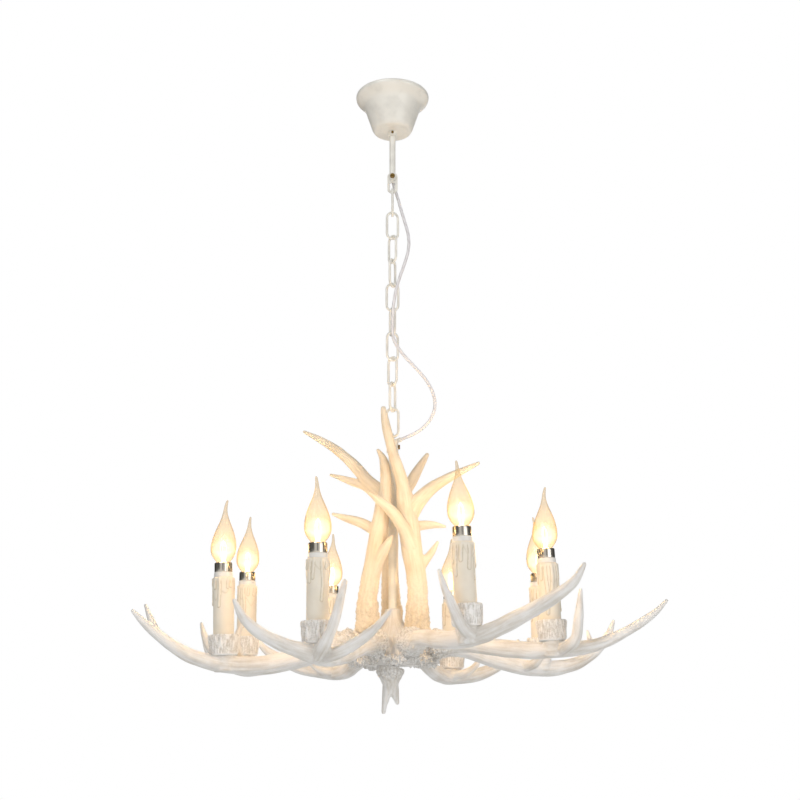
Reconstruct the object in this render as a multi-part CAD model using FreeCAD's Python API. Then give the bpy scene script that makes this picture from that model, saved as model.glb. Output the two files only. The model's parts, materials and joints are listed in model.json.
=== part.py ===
import FreeCAD, Part
import math
import os

# Antler chandelier for eight candle bulbs, hung from the ceiling by a ten-link chain.
# Millimetres, +Z up, +Y away from the front, +X to the right.
# Origin: centre of the canopy on the ceiling plane, so the whole object is below zero.

V = FreeCAD.Vector
UP = V(0, 0, 1)

# ---------------------------------------------------------------- driving dimensions
FIT = 0.05  # radial play of a pin or bolt in its hole
GAP = 0.3  # play between pieces that move on each other

# ceiling strap, a hat section with two screw slots
strap_length = 94.0
strap_width = 22.0
strap_thickness = 2.5
strap_drop = 12.0  # from the ceiling to the top of the lowered middle
strap_middle = 40.0  # length of the lowered middle
strap_screw_spacing = 76.0
strap_slot_width = 5.5
strap_slot_length = 9.0

# hanger tube and the nuts that clamp it to the strap
tube_radius = 5.0
tube_bore = 3.2
tube_top = -5.0
tube_end = -155.0
nut_flats = 17.0
nut_height = 6.0
slot_height = 15.5  # slot in the tube's end that takes the lug

# port behind the tube that the power cord leaves by
cord_port_radius = 4.0
cord_port_height = 12.0
cord_port_back = 8.5  # port's axis behind the tube's axis
cord_port_end = -138.0

# canopy, an open-topped cup that hides the strap
flange_radius = 61.0
flange_depth = 4.0
flange_roll = 3.5  # how far the lip's lower edge rolls in
flange_roll_depth = 8.8
shoulder_radius = 50.5
shoulder_depth = 15.6
neck_radius = 46.0  # where the cone starts below the flange
neck_depth = 23.0
canopy_base_radius = 29.0
canopy_base_bevel = 4.0
canopy_base_rise = 4.5
canopy_height = 66.0
canopy_wall = 1.5
collar_radius = 8.0
collar_height = 8.0
set_screw_radius = 2.0
set_screw_length = 4.5
screw_slot_width = 0.9
screw_slot_depth = 1.0

# three-way terminal block under the strap
block_length = 26.0
block_width = 12.0
block_height = 12.0
block_way_radius = 2.2  # hole for one wire

# lug, a keyhole plate that turns on a cross screw
lug_half_width = 8.5
lug_thickness = 3.0
lug_screw_height = -149.0
lug_screw_radius = 2.0
lug_screw_head_radius = 4.0
lug_screw_head_height = 2.4
lug_hole_radius = 4.5
lug_hole_top = -162.5  # centre of the keyhole's upper round end
lug_hole_bottom = -169.5  # and of its lower one
lug_rim = 4.0  # metal below the hole
lug_chamfer = 0.6  # eases the hole's edges for the wire

# chain of oval wire links
link_count = 10
link_wire = 4.0
link_length = 49.9  # outside
link_width = 22.5  # outside
link_yaws = (90, 15, -52, 62, 0, -66, 24, -46, 64, -8)  # degrees each link is turned about the vertical

# eye that the chandelier hangs from, with its collar on the centre rod
eye_radius = 4.7  # of the ring's centreline
eye_yaw = 82.0
eye_collar_radius = 9.0
eye_collar_height = 20.0
eye_screw_radius = 1.8
eye_screw_drop = 11.0  # below the collar's top
eye_screw_head_radius = 3.6
eye_screw_head_height = 2.6
cord_inlet_radius = 3.6
cord_inlet_reach = 14.0
cord_inlet_rise = 22.0  # degrees above level
cord_inlet_drop = 4.0  # below the collar's top

# chandelier heights are measured up from the finial's lowest tip
eye_height = 417.3  # of the ring's top bar
rod_radius = 6.0
rod_bore = 3.5
rod_in_collar = 12.0  # rod's reach into the collar

# hub, with a socket for each arm and a closed cavity for their bolts
light_count = 8
first_azimuth = -67.5  # degrees from +X to the first arm
hub_bottom = 72.0
hub_roof = 9.0  # thickness of its top above the cavity
hub_rim_radius = 60.0
hub_rim_height = 7.0
hub_waist_radius = 50.0
hub_crown_radius = 54.0
hub_edge = 3.0  # bevel of its rim and crown
hub_crown_depth = 6.0
column_top = 150.0  # flared foot of the centre rod
column_radius = 11.0
column_foot_radius = 22.0
column_flare = 3.0  # the flare's width and height where it meets the straight column
column_flare_height = 12.0
socket_height = 98.0
socket_radius = 18.5
socket_reach = 64.0
cavity_radius = 36.0
cavity_headroom = 13.0  # above the arm bolts' axes
plate_radius = 41.0
plate_thickness = 4.0
bolt_radius = 3.0
bolt_flats = 10.0
bolt_head = 4.5
bolt_seat = 1.0  # flat head's distance from the cavity's round wall
bolt_end = 90.0  # how far out from the axis the arm bolts reach
arm_drawn_ring = 249.0  # candle ring that the arms' tables are drawn for
coronet_radius = 17.0  # rough ring round each arm's root
coronet_length = 9.0
upright_coronet = 6.0  # how far an upright's coronet stands out from its foot

# finial, a burr with two short prongs
finial_radius = 20.0
finial_waist_radius = 10.0
finial_waist_height = 38.0
finial_edge = 2.0
finial_burr = 9.0  # height of the burr's thick part
finial_rod_depth = 14.0
finial_offset = 3.0  # how far it grows to the left of the axis
finial_short_drop = 15.0  # height of its short prong's tip

# candle on each arm: cup, sleeve, lampholder and nipple
ring_radius = 249.0  # of the candles round the hub
seat_radius = 16.0
seat_depth = 22.0  # of the cone that carries the seat, sunk in the arm
seat_taper = 3.0
cup_bottom_radius = 19.5
cup_top_radius = 22.0
cup_height = 28.0
cup_floor = 5.0
cup_room = 1.0  # clear of the arm's own tines round the cup
sleeve_radius = 15.6
sleeve_wall = 2.0
sleeve_top = 108.0  # above the seat
cup_play = 0.4  # round the sleeve in the cup
holder_radius = 13.2
holder_top = 114.0  # above the seat
holder_bore_depth = 26.0
holder_head = 20.0  # wider top of the holder, below the sleeve's top
holder_step = 1.5
holder_bevel = 0.8
nipple_radius = 5.0
nipple_bore = 3.0
nipple_down = 15.0  # below the seat
nipple_up = 16.0  # above the seat

# bulb: screw cap, chrome collar and bent-tip flame glass
cap_radius = 6.9
cap_length = 22.0
cap_play = 0.35
cap_contact_radius = 4.4
cap_nose = 3.0
collar_chrome_radius = 12.5
collar_chrome_height = 14.0
collar_bevel = 1.0
glass_wall = 1.0
glass_profile = (  # height above the collar, outer radius, sideways lean of the flame
    (0, 9.5, 0),
    (6, 13.4, 0),
    (13, 17.0, 0),
    (22, 17.9, 0.3),
    (31, 16.9, 0.9),
    (42, 13.9, 1.6),
    (52, 10.0, 2.2),
    (62, 5.9, 2.6),
    (72, 3.2, 3.0),
    (81, 2.2, 4.2),
)
glass_tip = (90, 6.4)  # height and lean of the flame's tip

# power cord, slack beside the chain
cord_diameter = 5.0
cord_lead = 18.0  # straight run into the inlet
cord_turn_share = 0.45  # of the shorter run, taken up by each turn
cord_route = (
    (0.0, 8.5, -138.0),
    (0.0, 8.5, -150.0),
    (3.0, 9.4, -164.0),
    (8.5, 8.5, -181.0),
    (13.5, 5.5, -203.0),
    (20.0, 0.5, -229.0),
    (26.0, -6.0, -254.0),
    (27.0, -12.0, -280.0),
    (20.5, -16.0, -307.0),
    (11.0, -18.5, -335.0),
    (4.0, -20.0, -363.0),
    (0.5, -20.5, -391.0),
    (0.0, -20.0, -417.0),
    (0.5, -20.0, -439.0),
    (13.0, -19.5, -460.0),
    (32.0, -18.5, -481.0),
    (51.0, -17.0, -502.0),
    (64.0, -14.0, -525.0),
    (67.0, -10.0, -547.0),
    (59.0, -6.0, -567.0),
    (44.0, -3.0, -581.5),
)  # the last point, at the inlet, follows from the eye

# ---------------------------------------------------------------- worked out from them
lug_bottom_bar = lug_hole_bottom - lug_hole_radius  # height that the first link bears on
link_half = (link_length - link_wire) / 2  # from a link's middle to the centre of its bars
link_bend = (link_width - link_wire) / 2  # radius of its bends
link_pitch = link_length - 2 * link_wire - GAP
first_link = lug_bottom_bar + link_wire / 2 + GAP - link_half
last_bar = first_link - (link_count - 1) * link_pitch - link_half
eye_bar = last_bar + link_wire + GAP  # centre of the ring's top bar
tip_height = eye_bar - eye_height  # the finial's lowest tip
collar_top = eye_bar - 2 * eye_radius
strap_under = -strap_drop - strap_thickness
block_edge = strap_middle / 2 + GAP  # side of the terminal block beside the strap's step
glass_foot = holder_top + GAP + collar_chrome_height
cavity_top = socket_height + cavity_headroom
hub_top = cavity_top + hub_roof


# ---------------------------------------------------------------- shapes used throughout
def solid_of(profile):
    """Solid of revolution about Z of an outline of (radius, height) points."""
    points = [V(r, 0, z) for r, z in profile]
    face = Part.Face(Part.makePolygon(points + [points[0]]))
    return face.revolve(V(0, 0, 0), UP, 360)


def ring(outer, inner, bottom, top):
    """Straight-walled ring between two heights."""
    return solid_of([(inner, bottom), (outer, bottom), (outer, top), (inner, top)])


def rod(radius, start, end):
    """Round bar between two points."""
    return Part.makeCylinder(radius, (end - start).Length, start, end - start)


def hexagon(flats, bottom, height, bore):
    """Hexagonal nut or head about Z, with a hole of radius bore."""
    corner = flats / math.sqrt(3)
    points = [V(corner, 0, 0)]
    for step in range(1, 7):
        angle = math.radians(60 * step)
        points.append(V(corner * math.cos(angle), corner * math.sin(angle), 0))
    nut = Part.Face(Part.makePolygon(points)).extrude(V(0, 0, height))
    nut.translate(V(0, 0, bottom))
    return nut.cut(Part.makeCylinder(bore, height, V(0, 0, bottom))) if bore else nut


def turned(shape, degrees, centre=V(0, 0, 0), axis=UP):
    """Copy of a shape, turned about an axis."""
    copy = shape.copy()
    copy.rotate(centre, axis, degrees)
    return copy


def moved(shape, x, y, z):
    """Copy of a shape, shifted."""
    copy = shape.copy()
    copy.translate(V(x, y, z))
    return copy


def tine(points, radii):
    """Tapering antler tine along a smooth line through the points, with a rounded tip."""
    line = Part.BSplineCurve()
    line.interpolate(points)
    ends = [line.parameter(point) for point in points]
    stations = []
    for here, there, thick, thin in zip(ends, ends[1:], radii, radii[1:]):
        stations += [(here, thick), ((here + there) / 2, (thick + thin) / 2)]
    stations.append((ends[-1], radii[-1]))
    sections = []
    for place, radius in stations:
        along = line.tangent(place)[0]
        side = V(0, 1, 0) if abs(along.y) < 0.85 else V(1, 0, 0)
        sections.append((line.value(place), along, radius, along.cross(side).normalize()))
    point, along, radius, side = sections[-1]
    sections.append((point + along * radius * 0.6, along, radius * 0.75, side))
    wires = []
    for centre, normal, radius, side in sections:
        circle = Part.Circle(centre, normal, radius)
        circle.XAxis = side
        wires.append(Part.Wire([circle.toShape()]))
    wires.append(Part.Vertex(point + along * radii[-1]))
    return Part.makeLoft(wires, True, True)


def joined(pieces, cuts=()):
    """One solid from overlapping ones, less the cuts."""
    whole = pieces[0]
    for piece in pieces[1:]:
        whole = whole.fuse(piece)
    for piece in cuts:
        whole = whole.cut(piece)
    return whole.Solids[0] if len(whole.Solids) == 1 else whole


def save(node, *solids):
    """Write a node's solids, after testing that each is sound."""
    shape = solids[0] if len(solids) == 1 else Part.makeCompound(list(solids))
    count = len(shape.Solids)
    assert shape.isValid() and count == len(solids), f"{node} is not sound"
    shape.exportStep(f"parts/{node}.step")
    print(f"{node}: {count} solid(s), {shape.Volume / 1000:.2f} cm3")


# ---------------------------------------------------------------- ceiling end
def ceiling_strap():
    """Hat-section strap that is screwed to the ceiling."""
    half, wide = strap_length / 2, strap_width
    wing = half - strap_middle / 2 + strap_thickness
    parts = [Part.makeBox(strap_middle, wide, strap_thickness, V(-strap_middle / 2, -wide / 2, strap_under))]
    for side in (-1, 1):
        inner = strap_middle / 2 - strap_thickness
        edge = inner if side > 0 else -half
        parts.append(Part.makeBox(wing, wide, strap_thickness, V(edge, -wide / 2, -strap_thickness)))
        wall = inner if side > 0 else -strap_middle / 2
        parts.append(Part.makeBox(strap_thickness, wide, -strap_under, V(wall, -wide / 2, strap_under)))
    cuts = [Part.makeCylinder(tube_radius + FIT, strap_thickness, V(0, 0, strap_under))]
    for side in (-1, 1):
        x = side * strap_screw_spacing / 2
        run = strap_slot_length - strap_slot_width
        r = strap_slot_width / 2
        cuts.append(Part.makeBox(run, 2 * r, strap_thickness, V(x - run / 2, -r, -strap_thickness)))
        for end in (-1, 1):
            cuts.append(Part.makeCylinder(r, strap_thickness, V(x + end * run / 2, 0, -strap_thickness)))
    return joined(parts, cuts)


def hanger_tube():
    """Threaded tube with a slotted end for the lug and a port for the cord behind it."""
    tube = Part.makeCylinder(tube_radius, tube_top - tube_end, V(0, 0, tube_end))
    port = Part.makeCylinder(cord_port_radius, cord_port_height, V(0, cord_port_back, cord_port_end))
    bridge = Part.makeBox(
        cord_port_radius, cord_port_back, cord_port_height, V(-cord_port_radius / 2, 0, cord_port_end)
    )
    slot_half = lug_thickness / 2 + GAP
    slot_top = tube_end + slot_height
    reach = 2 * tube_radius
    slot = Part.makeBox(2 * reach, 2 * slot_half, slot_height, V(-reach, -slot_half, tube_end))
    bore_foot = slot_top + tube_radius
    bore = Part.makeCylinder(tube_bore, tube_top - bore_foot, V(0, 0, bore_foot))
    hole = rod(lug_screw_radius + FIT, V(0, -reach, lug_screw_height), V(0, reach, lug_screw_height))
    return joined([tube, port, bridge], [slot, bore, hole])


def tube_nuts():
    """Nut above the strap's middle and nut below it."""
    above = hexagon(nut_flats, -strap_drop, nut_height, tube_radius + FIT)
    below = hexagon(nut_flats, strap_under - nut_height, nut_height, tube_radius + FIT)
    return above, below


def canopy_cup():
    """Thin bell cup with a lip, open at the ceiling."""
    lip, wall = flange_depth, canopy_wall
    outline = [
        (flange_radius, 0),
        (flange_radius, -lip),
        (flange_radius - flange_roll, -flange_roll_depth),
        (shoulder_radius, -shoulder_depth),
        (neck_radius, -neck_depth),
        (canopy_base_radius + canopy_base_bevel, -canopy_height + canopy_base_rise),
        (canopy_base_radius, -canopy_height),
        (tube_radius + GAP, -canopy_height),
    ]
    inside = [
        (tube_radius + GAP, -canopy_height + wall),
        (canopy_base_radius - wall, -canopy_height + wall),
        (canopy_base_radius + canopy_base_bevel - wall, -canopy_height + canopy_base_rise + wall / 2),
        (neck_radius - wall, -neck_depth + wall / 2),
        (shoulder_radius - wall, -shoulder_depth + wall / 2),
        (flange_radius - flange_roll - wall, -flange_roll_depth + wall / 2),
        (flange_radius - wall, -lip + wall / 2),
        (flange_radius - wall, 0),
    ]
    return solid_of(outline + inside)


def canopy_collar():
    """Ring under the canopy that its set screw clamps to the tube."""
    bottom = -canopy_height - collar_height
    collar = ring(collar_radius, tube_radius + GAP, bottom, -canopy_height)
    middle = bottom + collar_height / 2
    hole = rod(set_screw_radius + FIT, V(0, 0, middle), V(0, -2 * collar_radius, middle))
    return collar.cut(hole)


def canopy_set_screw():
    """Slotted grub screw at the front of the collar."""
    middle = -canopy_height - collar_height / 2
    start = V(0, -tube_radius - GAP, middle)
    end = start - V(0, set_screw_length, 0)
    screw = rod(set_screw_radius, start, end)
    corner = V(-set_screw_radius, end.y, middle - screw_slot_width / 2)
    slot = Part.makeBox(2 * set_screw_radius, screw_slot_depth, screw_slot_width, corner)
    return screw.cut(slot)


def terminal_block():
    """Three-way block that hangs under the strap beside the tube."""
    box = Part.makeBox(
        block_width,
        block_length,
        block_height,
        V(block_edge, -block_length / 2, -strap_thickness - block_height),
    )
    ways = []
    for way in (-1, 0, 1):
        y = way * block_length / 3
        middle = -strap_thickness - block_height / 2
        ways.append(rod(block_way_radius, V(0, y, middle), V(strap_length, y, middle)))
    return joined([box], ways)


def hanger_lug():
    """Plate with round ends and a keyhole slot that the first link hangs in."""
    half = lug_thickness / 2
    low = lug_hole_bottom - lug_hole_radius - lug_rim + lug_half_width
    shapes = [
        rod(lug_half_width, V(0, -half, lug_screw_height), V(0, half, lug_screw_height)),
        rod(lug_half_width, V(0, -half, low), V(0, half, low)),
        Part.makeBox(
            2 * lug_half_width, lug_thickness, lug_screw_height - low, V(-lug_half_width, -half, low)
        ),
    ]
    cuts = [rod(lug_screw_radius + GAP, V(0, -half, lug_screw_height), V(0, half, lug_screw_height))]
    for z in (lug_hole_top, lug_hole_bottom):
        cuts.append(rod(lug_hole_radius, V(0, -half, z), V(0, half, z)))
    throat = 0.8 * lug_hole_radius
    cuts.append(
        Part.makeBox(
            2 * throat, lug_thickness, lug_hole_top - lug_hole_bottom, V(-throat, -half, lug_hole_bottom)
        )
    )
    for side in (-1, 1):
        face = V(0, side * half, lug_hole_bottom)
        wide = lug_hole_radius + lug_chamfer
        cuts.append(Part.makeCone(wide, lug_hole_radius, lug_chamfer, face, V(0, -side, 0)))
    return joined(shapes, cuts)


def lug_screw():
    """Slotted screw through the tube's slotted end and the lug."""
    seat = V(0, -tube_radius - FIT, lug_screw_height)
    top = seat - V(0, lug_screw_head_height, 0)
    shank = rod(lug_screw_radius, top, V(0, tube_radius, lug_screw_height))
    head = rod(lug_screw_head_radius, seat, top)
    corner = top - V(lug_screw_head_radius, 0, screw_slot_width / 2)
    slot = Part.makeBox(2 * lug_screw_head_radius, screw_slot_depth, screw_slot_width, corner)
    return joined([shank, head], [slot])


# ---------------------------------------------------------------- chain and eye
def chain_link(number):
    """One oval link, bent from round wire and welded shut."""
    straight = link_half - link_bend
    line = [
        Part.LineSegment(V(link_bend, 0, -straight), V(link_bend, 0, straight)),
        Part.Arc(V(link_bend, 0, straight), V(0, 0, link_half), V(-link_bend, 0, straight)),
        Part.LineSegment(V(-link_bend, 0, straight), V(-link_bend, 0, -straight)),
        Part.Arc(V(-link_bend, 0, -straight), V(0, 0, -link_half), V(link_bend, 0, -straight)),
    ]
    path = Part.Wire([edge.toShape() for edge in line])
    section = Part.Wire([Part.Circle(V(link_bend, 0, -straight), UP, link_wire / 2).toShape()])
    link = path.makePipeShell([section], True, False)
    link = turned(link, link_yaws[number - 1])
    return moved(link, 0, 0, first_link - (number - 1) * link_pitch)


def top_eye():
    """Ring and collar on the rod's top, with an inlet for the power cord."""
    hoop = Part.makeTorus(eye_radius, link_wire / 2, V(0, 0, eye_bar - eye_radius), V(0, 1, 0))
    hoop = turned(hoop, eye_yaw)
    collar = Part.makeCylinder(eye_collar_radius, eye_collar_height, V(0, 0, collar_top - eye_collar_height))
    inlet = rod(cord_inlet_radius, V(0, 0, collar_top - cord_inlet_drop), cord_end())
    foot = collar_top - eye_collar_height
    socket = Part.makeCylinder(rod_radius + FIT, rod_in_collar, V(0, 0, foot))
    middle = collar_top - eye_screw_drop
    hole = rod(eye_screw_radius + FIT, V(rod_radius, 0, middle), V(2 * eye_collar_radius, 0, middle))
    return joined([hoop, collar, inlet], [socket, hole])


def eye_screw():
    """Screw at the right of the collar that grips the rod."""
    middle = collar_top - eye_screw_drop
    top = V(eye_collar_radius + eye_screw_head_height, 0, middle)
    shank = rod(eye_screw_radius, V(rod_radius + FIT, 0, middle), top)
    head = rod(eye_screw_head_radius, V(eye_collar_radius, 0, middle), top)
    corner = top - V(screw_slot_depth, eye_screw_head_radius, screw_slot_width / 2)
    slot = Part.makeBox(screw_slot_depth, 2 * eye_screw_head_radius, screw_slot_width, corner)
    return joined([shank, head], [slot])


def cord_end():
    """Middle of the inlet's open face, where the power cord goes in."""
    rise = math.radians(cord_inlet_rise)
    foot = V(0, 0, collar_top - cord_inlet_drop)
    return foot + V(math.cos(rise), 0, math.sin(rise)) * cord_inlet_reach


def power_cord():
    """Round cord along straight runs joined by tangent arcs, as large as the runs allow."""
    rise = math.radians(cord_inlet_rise)
    lead = cord_end() + V(math.cos(rise), 0, math.sin(rise)) * cord_lead
    points = [V(*p) for p in cord_route] + [lead, cord_end()]
    edges, here, length, tightest = [], points[0], 0.0, 999.0
    for before, corner, after in zip(points, points[1:], points[2:]):
        back, ahead = before - corner, after - corner
        short = min(back.Length, ahead.Length)
        turn = math.pi - back.getAngle(ahead)
        cutoff = cord_turn_share * short
        radius = cutoff / math.tan(turn / 2)
        tightest = min(tightest, radius)
        back.normalize()
        ahead.normalize()
        start, end = corner + back * cutoff, corner + ahead * cutoff
        inward = (back + ahead).normalize()
        middle = corner + inward * (radius / math.cos(turn / 2) - radius)
        edges += [Part.LineSegment(here, start), Part.Arc(start, middle, end)]
        length += (start - here).Length + radius * turn
        here = end
    edges.append(Part.LineSegment(here, points[-1]))
    length += (points[-1] - here).Length
    path = Part.Wire([edge.toShape() for edge in edges])
    first = (points[1] - points[0]).normalize()
    section = Part.Wire([Part.Circle(points[0], first, cord_diameter / 2).toShape()])
    tube = path.makePipeShell([section], True, False)
    expected = math.pi * (cord_diameter / 2) ** 2 * length
    print(f"cord: {length:.0f} mm long, tightest radius {tightest:.1f} mm, ", end="")
    print(f"volume {tube.Volume / expected:.4f} of section times length")
    return tube


# ---------------------------------------------------------------- hub and what it carries
def at_height(height):
    """Height above the finial's lowest tip, in the object's own frame."""
    return tip_height + height


def centre_rod():
    """Hollow rod from the finial, through the hub, up into the eye's collar."""
    foot = at_height(hub_bottom - plate_thickness - finial_rod_depth)
    head = collar_top - eye_collar_height + rod_in_collar
    return ring(rod_radius, rod_bore, foot, head)


def hub():
    """Burr-shaped hub: flared foot of the column, eight sockets, bolt cavity."""
    base, top = at_height(hub_bottom), at_height(hub_top)
    body = solid_of(
        [
            (0, base),
            (hub_rim_radius - hub_edge, base),
            (hub_rim_radius, base + hub_rim_height / 2),
            (hub_rim_radius - hub_edge, base + hub_rim_height),
            (hub_waist_radius, (base + top) / 2),
            (hub_crown_radius, top - hub_crown_depth),
            (hub_crown_radius - hub_edge, top),
            (column_foot_radius, top),
            (column_radius + column_flare, top + column_flare_height),
            (column_radius, at_height(column_top)),
            (0, at_height(column_top)),
        ]
    )
    cuts = [
        Part.makeCylinder(cavity_radius, cavity_top - hub_bottom, V(0, 0, base)),
        Part.makeCylinder(rod_radius + FIT, 2 * column_top, V(0, 0, base)),
        Part.makeCylinder(plate_radius + FIT, plate_thickness / 2, V(0, 0, base)),
    ]
    sockets = []
    for number in range(light_count):
        angle = first_azimuth + number * 360 / light_count
        z = at_height(socket_height)
        boss = rod(socket_radius, V(cavity_radius + bolt_head, 0, z), V(socket_reach, 0, z))
        sockets.append(turned(boss, angle))
        bore = rod(bolt_radius + FIT, V(cavity_radius - bolt_head, 0, z), V(socket_reach, 0, z))
        cuts.append(turned(bore, angle))
    return joined([body] + sockets, cuts)


def hub_nut():
    """Nut on the rod under the cavity's roof."""
    return hexagon(nut_flats, at_height(cavity_top) - nut_height, nut_height, rod_radius + FIT)


def hub_plate():
    """Plate that closes the hub from below."""
    top = at_height(hub_bottom) + plate_thickness / 2
    return ring(plate_radius, rod_radius + FIT, top - 1.5 * plate_thickness, top)


def arm_bolts():
    """Bolts from the cavity through the sockets into the arms."""
    z = at_height(socket_height)
    bolts = []
    for number in range(light_count):
        start = cavity_radius - bolt_seat - bolt_head
        shank = rod(bolt_radius, V(start, 0, z), V(bolt_end, 0, z))
        head = turned(hexagon(bolt_flats, 0, bolt_head, 0), 90, axis=V(0, 1, 0))
        head = moved(head, start, 0, z)
        bolts.append(turned(shank.fuse(head), first_azimuth + number * 360 / light_count))
    return bolts


def finial():
    """Burr under the hub that tapers to two prongs."""
    top = at_height(hub_bottom - plate_thickness)
    waist = at_height(finial_waist_height)
    burr = solid_of(
        [
            (0, top),
            (finial_radius - finial_edge, top),
            (finial_radius, top - 2 * finial_edge),
            (finial_radius, top - finial_edge - finial_burr),
            (finial_waist_radius, waist),
            (0, waist - finial_waist_radius),
        ]
    )
    burr.translate(V(-finial_offset, 0, 0))
    prongs = []
    for side, back, length, drop, tip in ((-1, -2, 14, 2.5, 2.8), (1, 3, 10, finial_short_drop, 3)):
        start = V(2 * side - finial_offset, 0, waist + 8)
        bend = V(6 * side - finial_offset, back / 2, waist - length)
        end = V(10 * side - finial_offset, back, at_height(drop))
        prongs.append(tine([start, bend, end], [9, 6.2, tip]))
    socket = Part.makeCylinder(rod_radius + FIT, finial_rod_depth, V(0, 0, top - finial_rod_depth))
    return joined([burr, *prongs], [socket])


# Each antler is a list of tines; a tine is a list of (x or radius, y or swing, height, thickness radius).
# Uprights: x, y from the axis and height above the finial's tip.
UPRIGHTS = {
    1: [  # front right, the tallest, its beam crossing to the left above
        [
            (36, -21, hub_top, 17),
            (37, -21, 150, 15),
            (36, -22, 190, 14.5),
            (29, -24, 235, 15.5),
            (22, -25, 285, 15),
            (15, -27, 334, 10.5),
            (8, -32, 358, 8.5),
            (0, -34, 382, 7.5),
            (-11, -34, 430, 6),
            (-14, -34, 450, 3.8),
        ],
        [
            (24, -24, 284, 13),
            (39, -25, 308, 12),
            (56, -27, 325, 9.8),
            (74, -29, 337, 8),
            (99, -30, 350, 6),
            (130, -31, 365, 2.6),
        ],
        [(35, -22, 200, 8), (50, -24, 221, 6.5), (60, -25, 234, 4.8), (67, -26, 246, 2.3)],
        [(26, -22, 268, 8), (46, -16, 273, 6.8), (64, -12, 274, 5.2), (79, -9, 272, 2.4)],
        [(28, -30, 238, 11), (13, -42, 270, 9.5), (-7, -50, 294, 8), (-23, -51, 307, 6), (-34, -50, 316, 3)],
    ],
    2: [  # front left
        [
            (-36, -21, hub_top, 16),
            (-38, -21, 150, 14),
            (-34, -23, 183, 13.5),
            (-27, -25, 220, 14),
            (-20, -26, 265, 13.5),
            (-14, -25, 303, 11.5),
            (-10, -23, 335, 9),
            (-11, -20, 358, 7.8),
            (-15, -18, 376, 6),
            (-22, -17, 388, 3),
        ],
        [(-31, -26, 190, 8.5), (-18, -36, 222, 8), (-8, -42, 240, 6), (-1, -43, 252, 3)],
        [(-24, -22, 263, 8.5), (-45, -14, 276, 7.6), (-67, -8, 284, 5.8), (-90, -4, 292, 2.6)],
    ],
    3: [  # rear, forking wide to the left and the right
        [
            (0, 42, hub_top, 16),
            (-2, 42, 160, 14),
            (-4, 41, 210, 13),
            (-4, 39, 260, 13),
            (-10, 37, 310, 13),
            (-23, 36, 336, 11.5),
            (-38, 36, 351, 10.3),
            (-72, 37, 388, 8),
            (-109, 38, 415, 5.8),
            (-140, 38, 431, 2.6),
        ],
        [(-25, 38, 328, 8), (-45, 42, 345, 7.2), (-63, 46, 352, 6), (-80, 48, 358, 4.6), (-98, 50, 364, 2.2)],
        [(-4, 39, 290, 11), (15, 42, 328, 9.5), (31, 44, 354, 8.5), (43, 46, 376, 7), (55, 48, 396, 3.5)],
    ],
}

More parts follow.
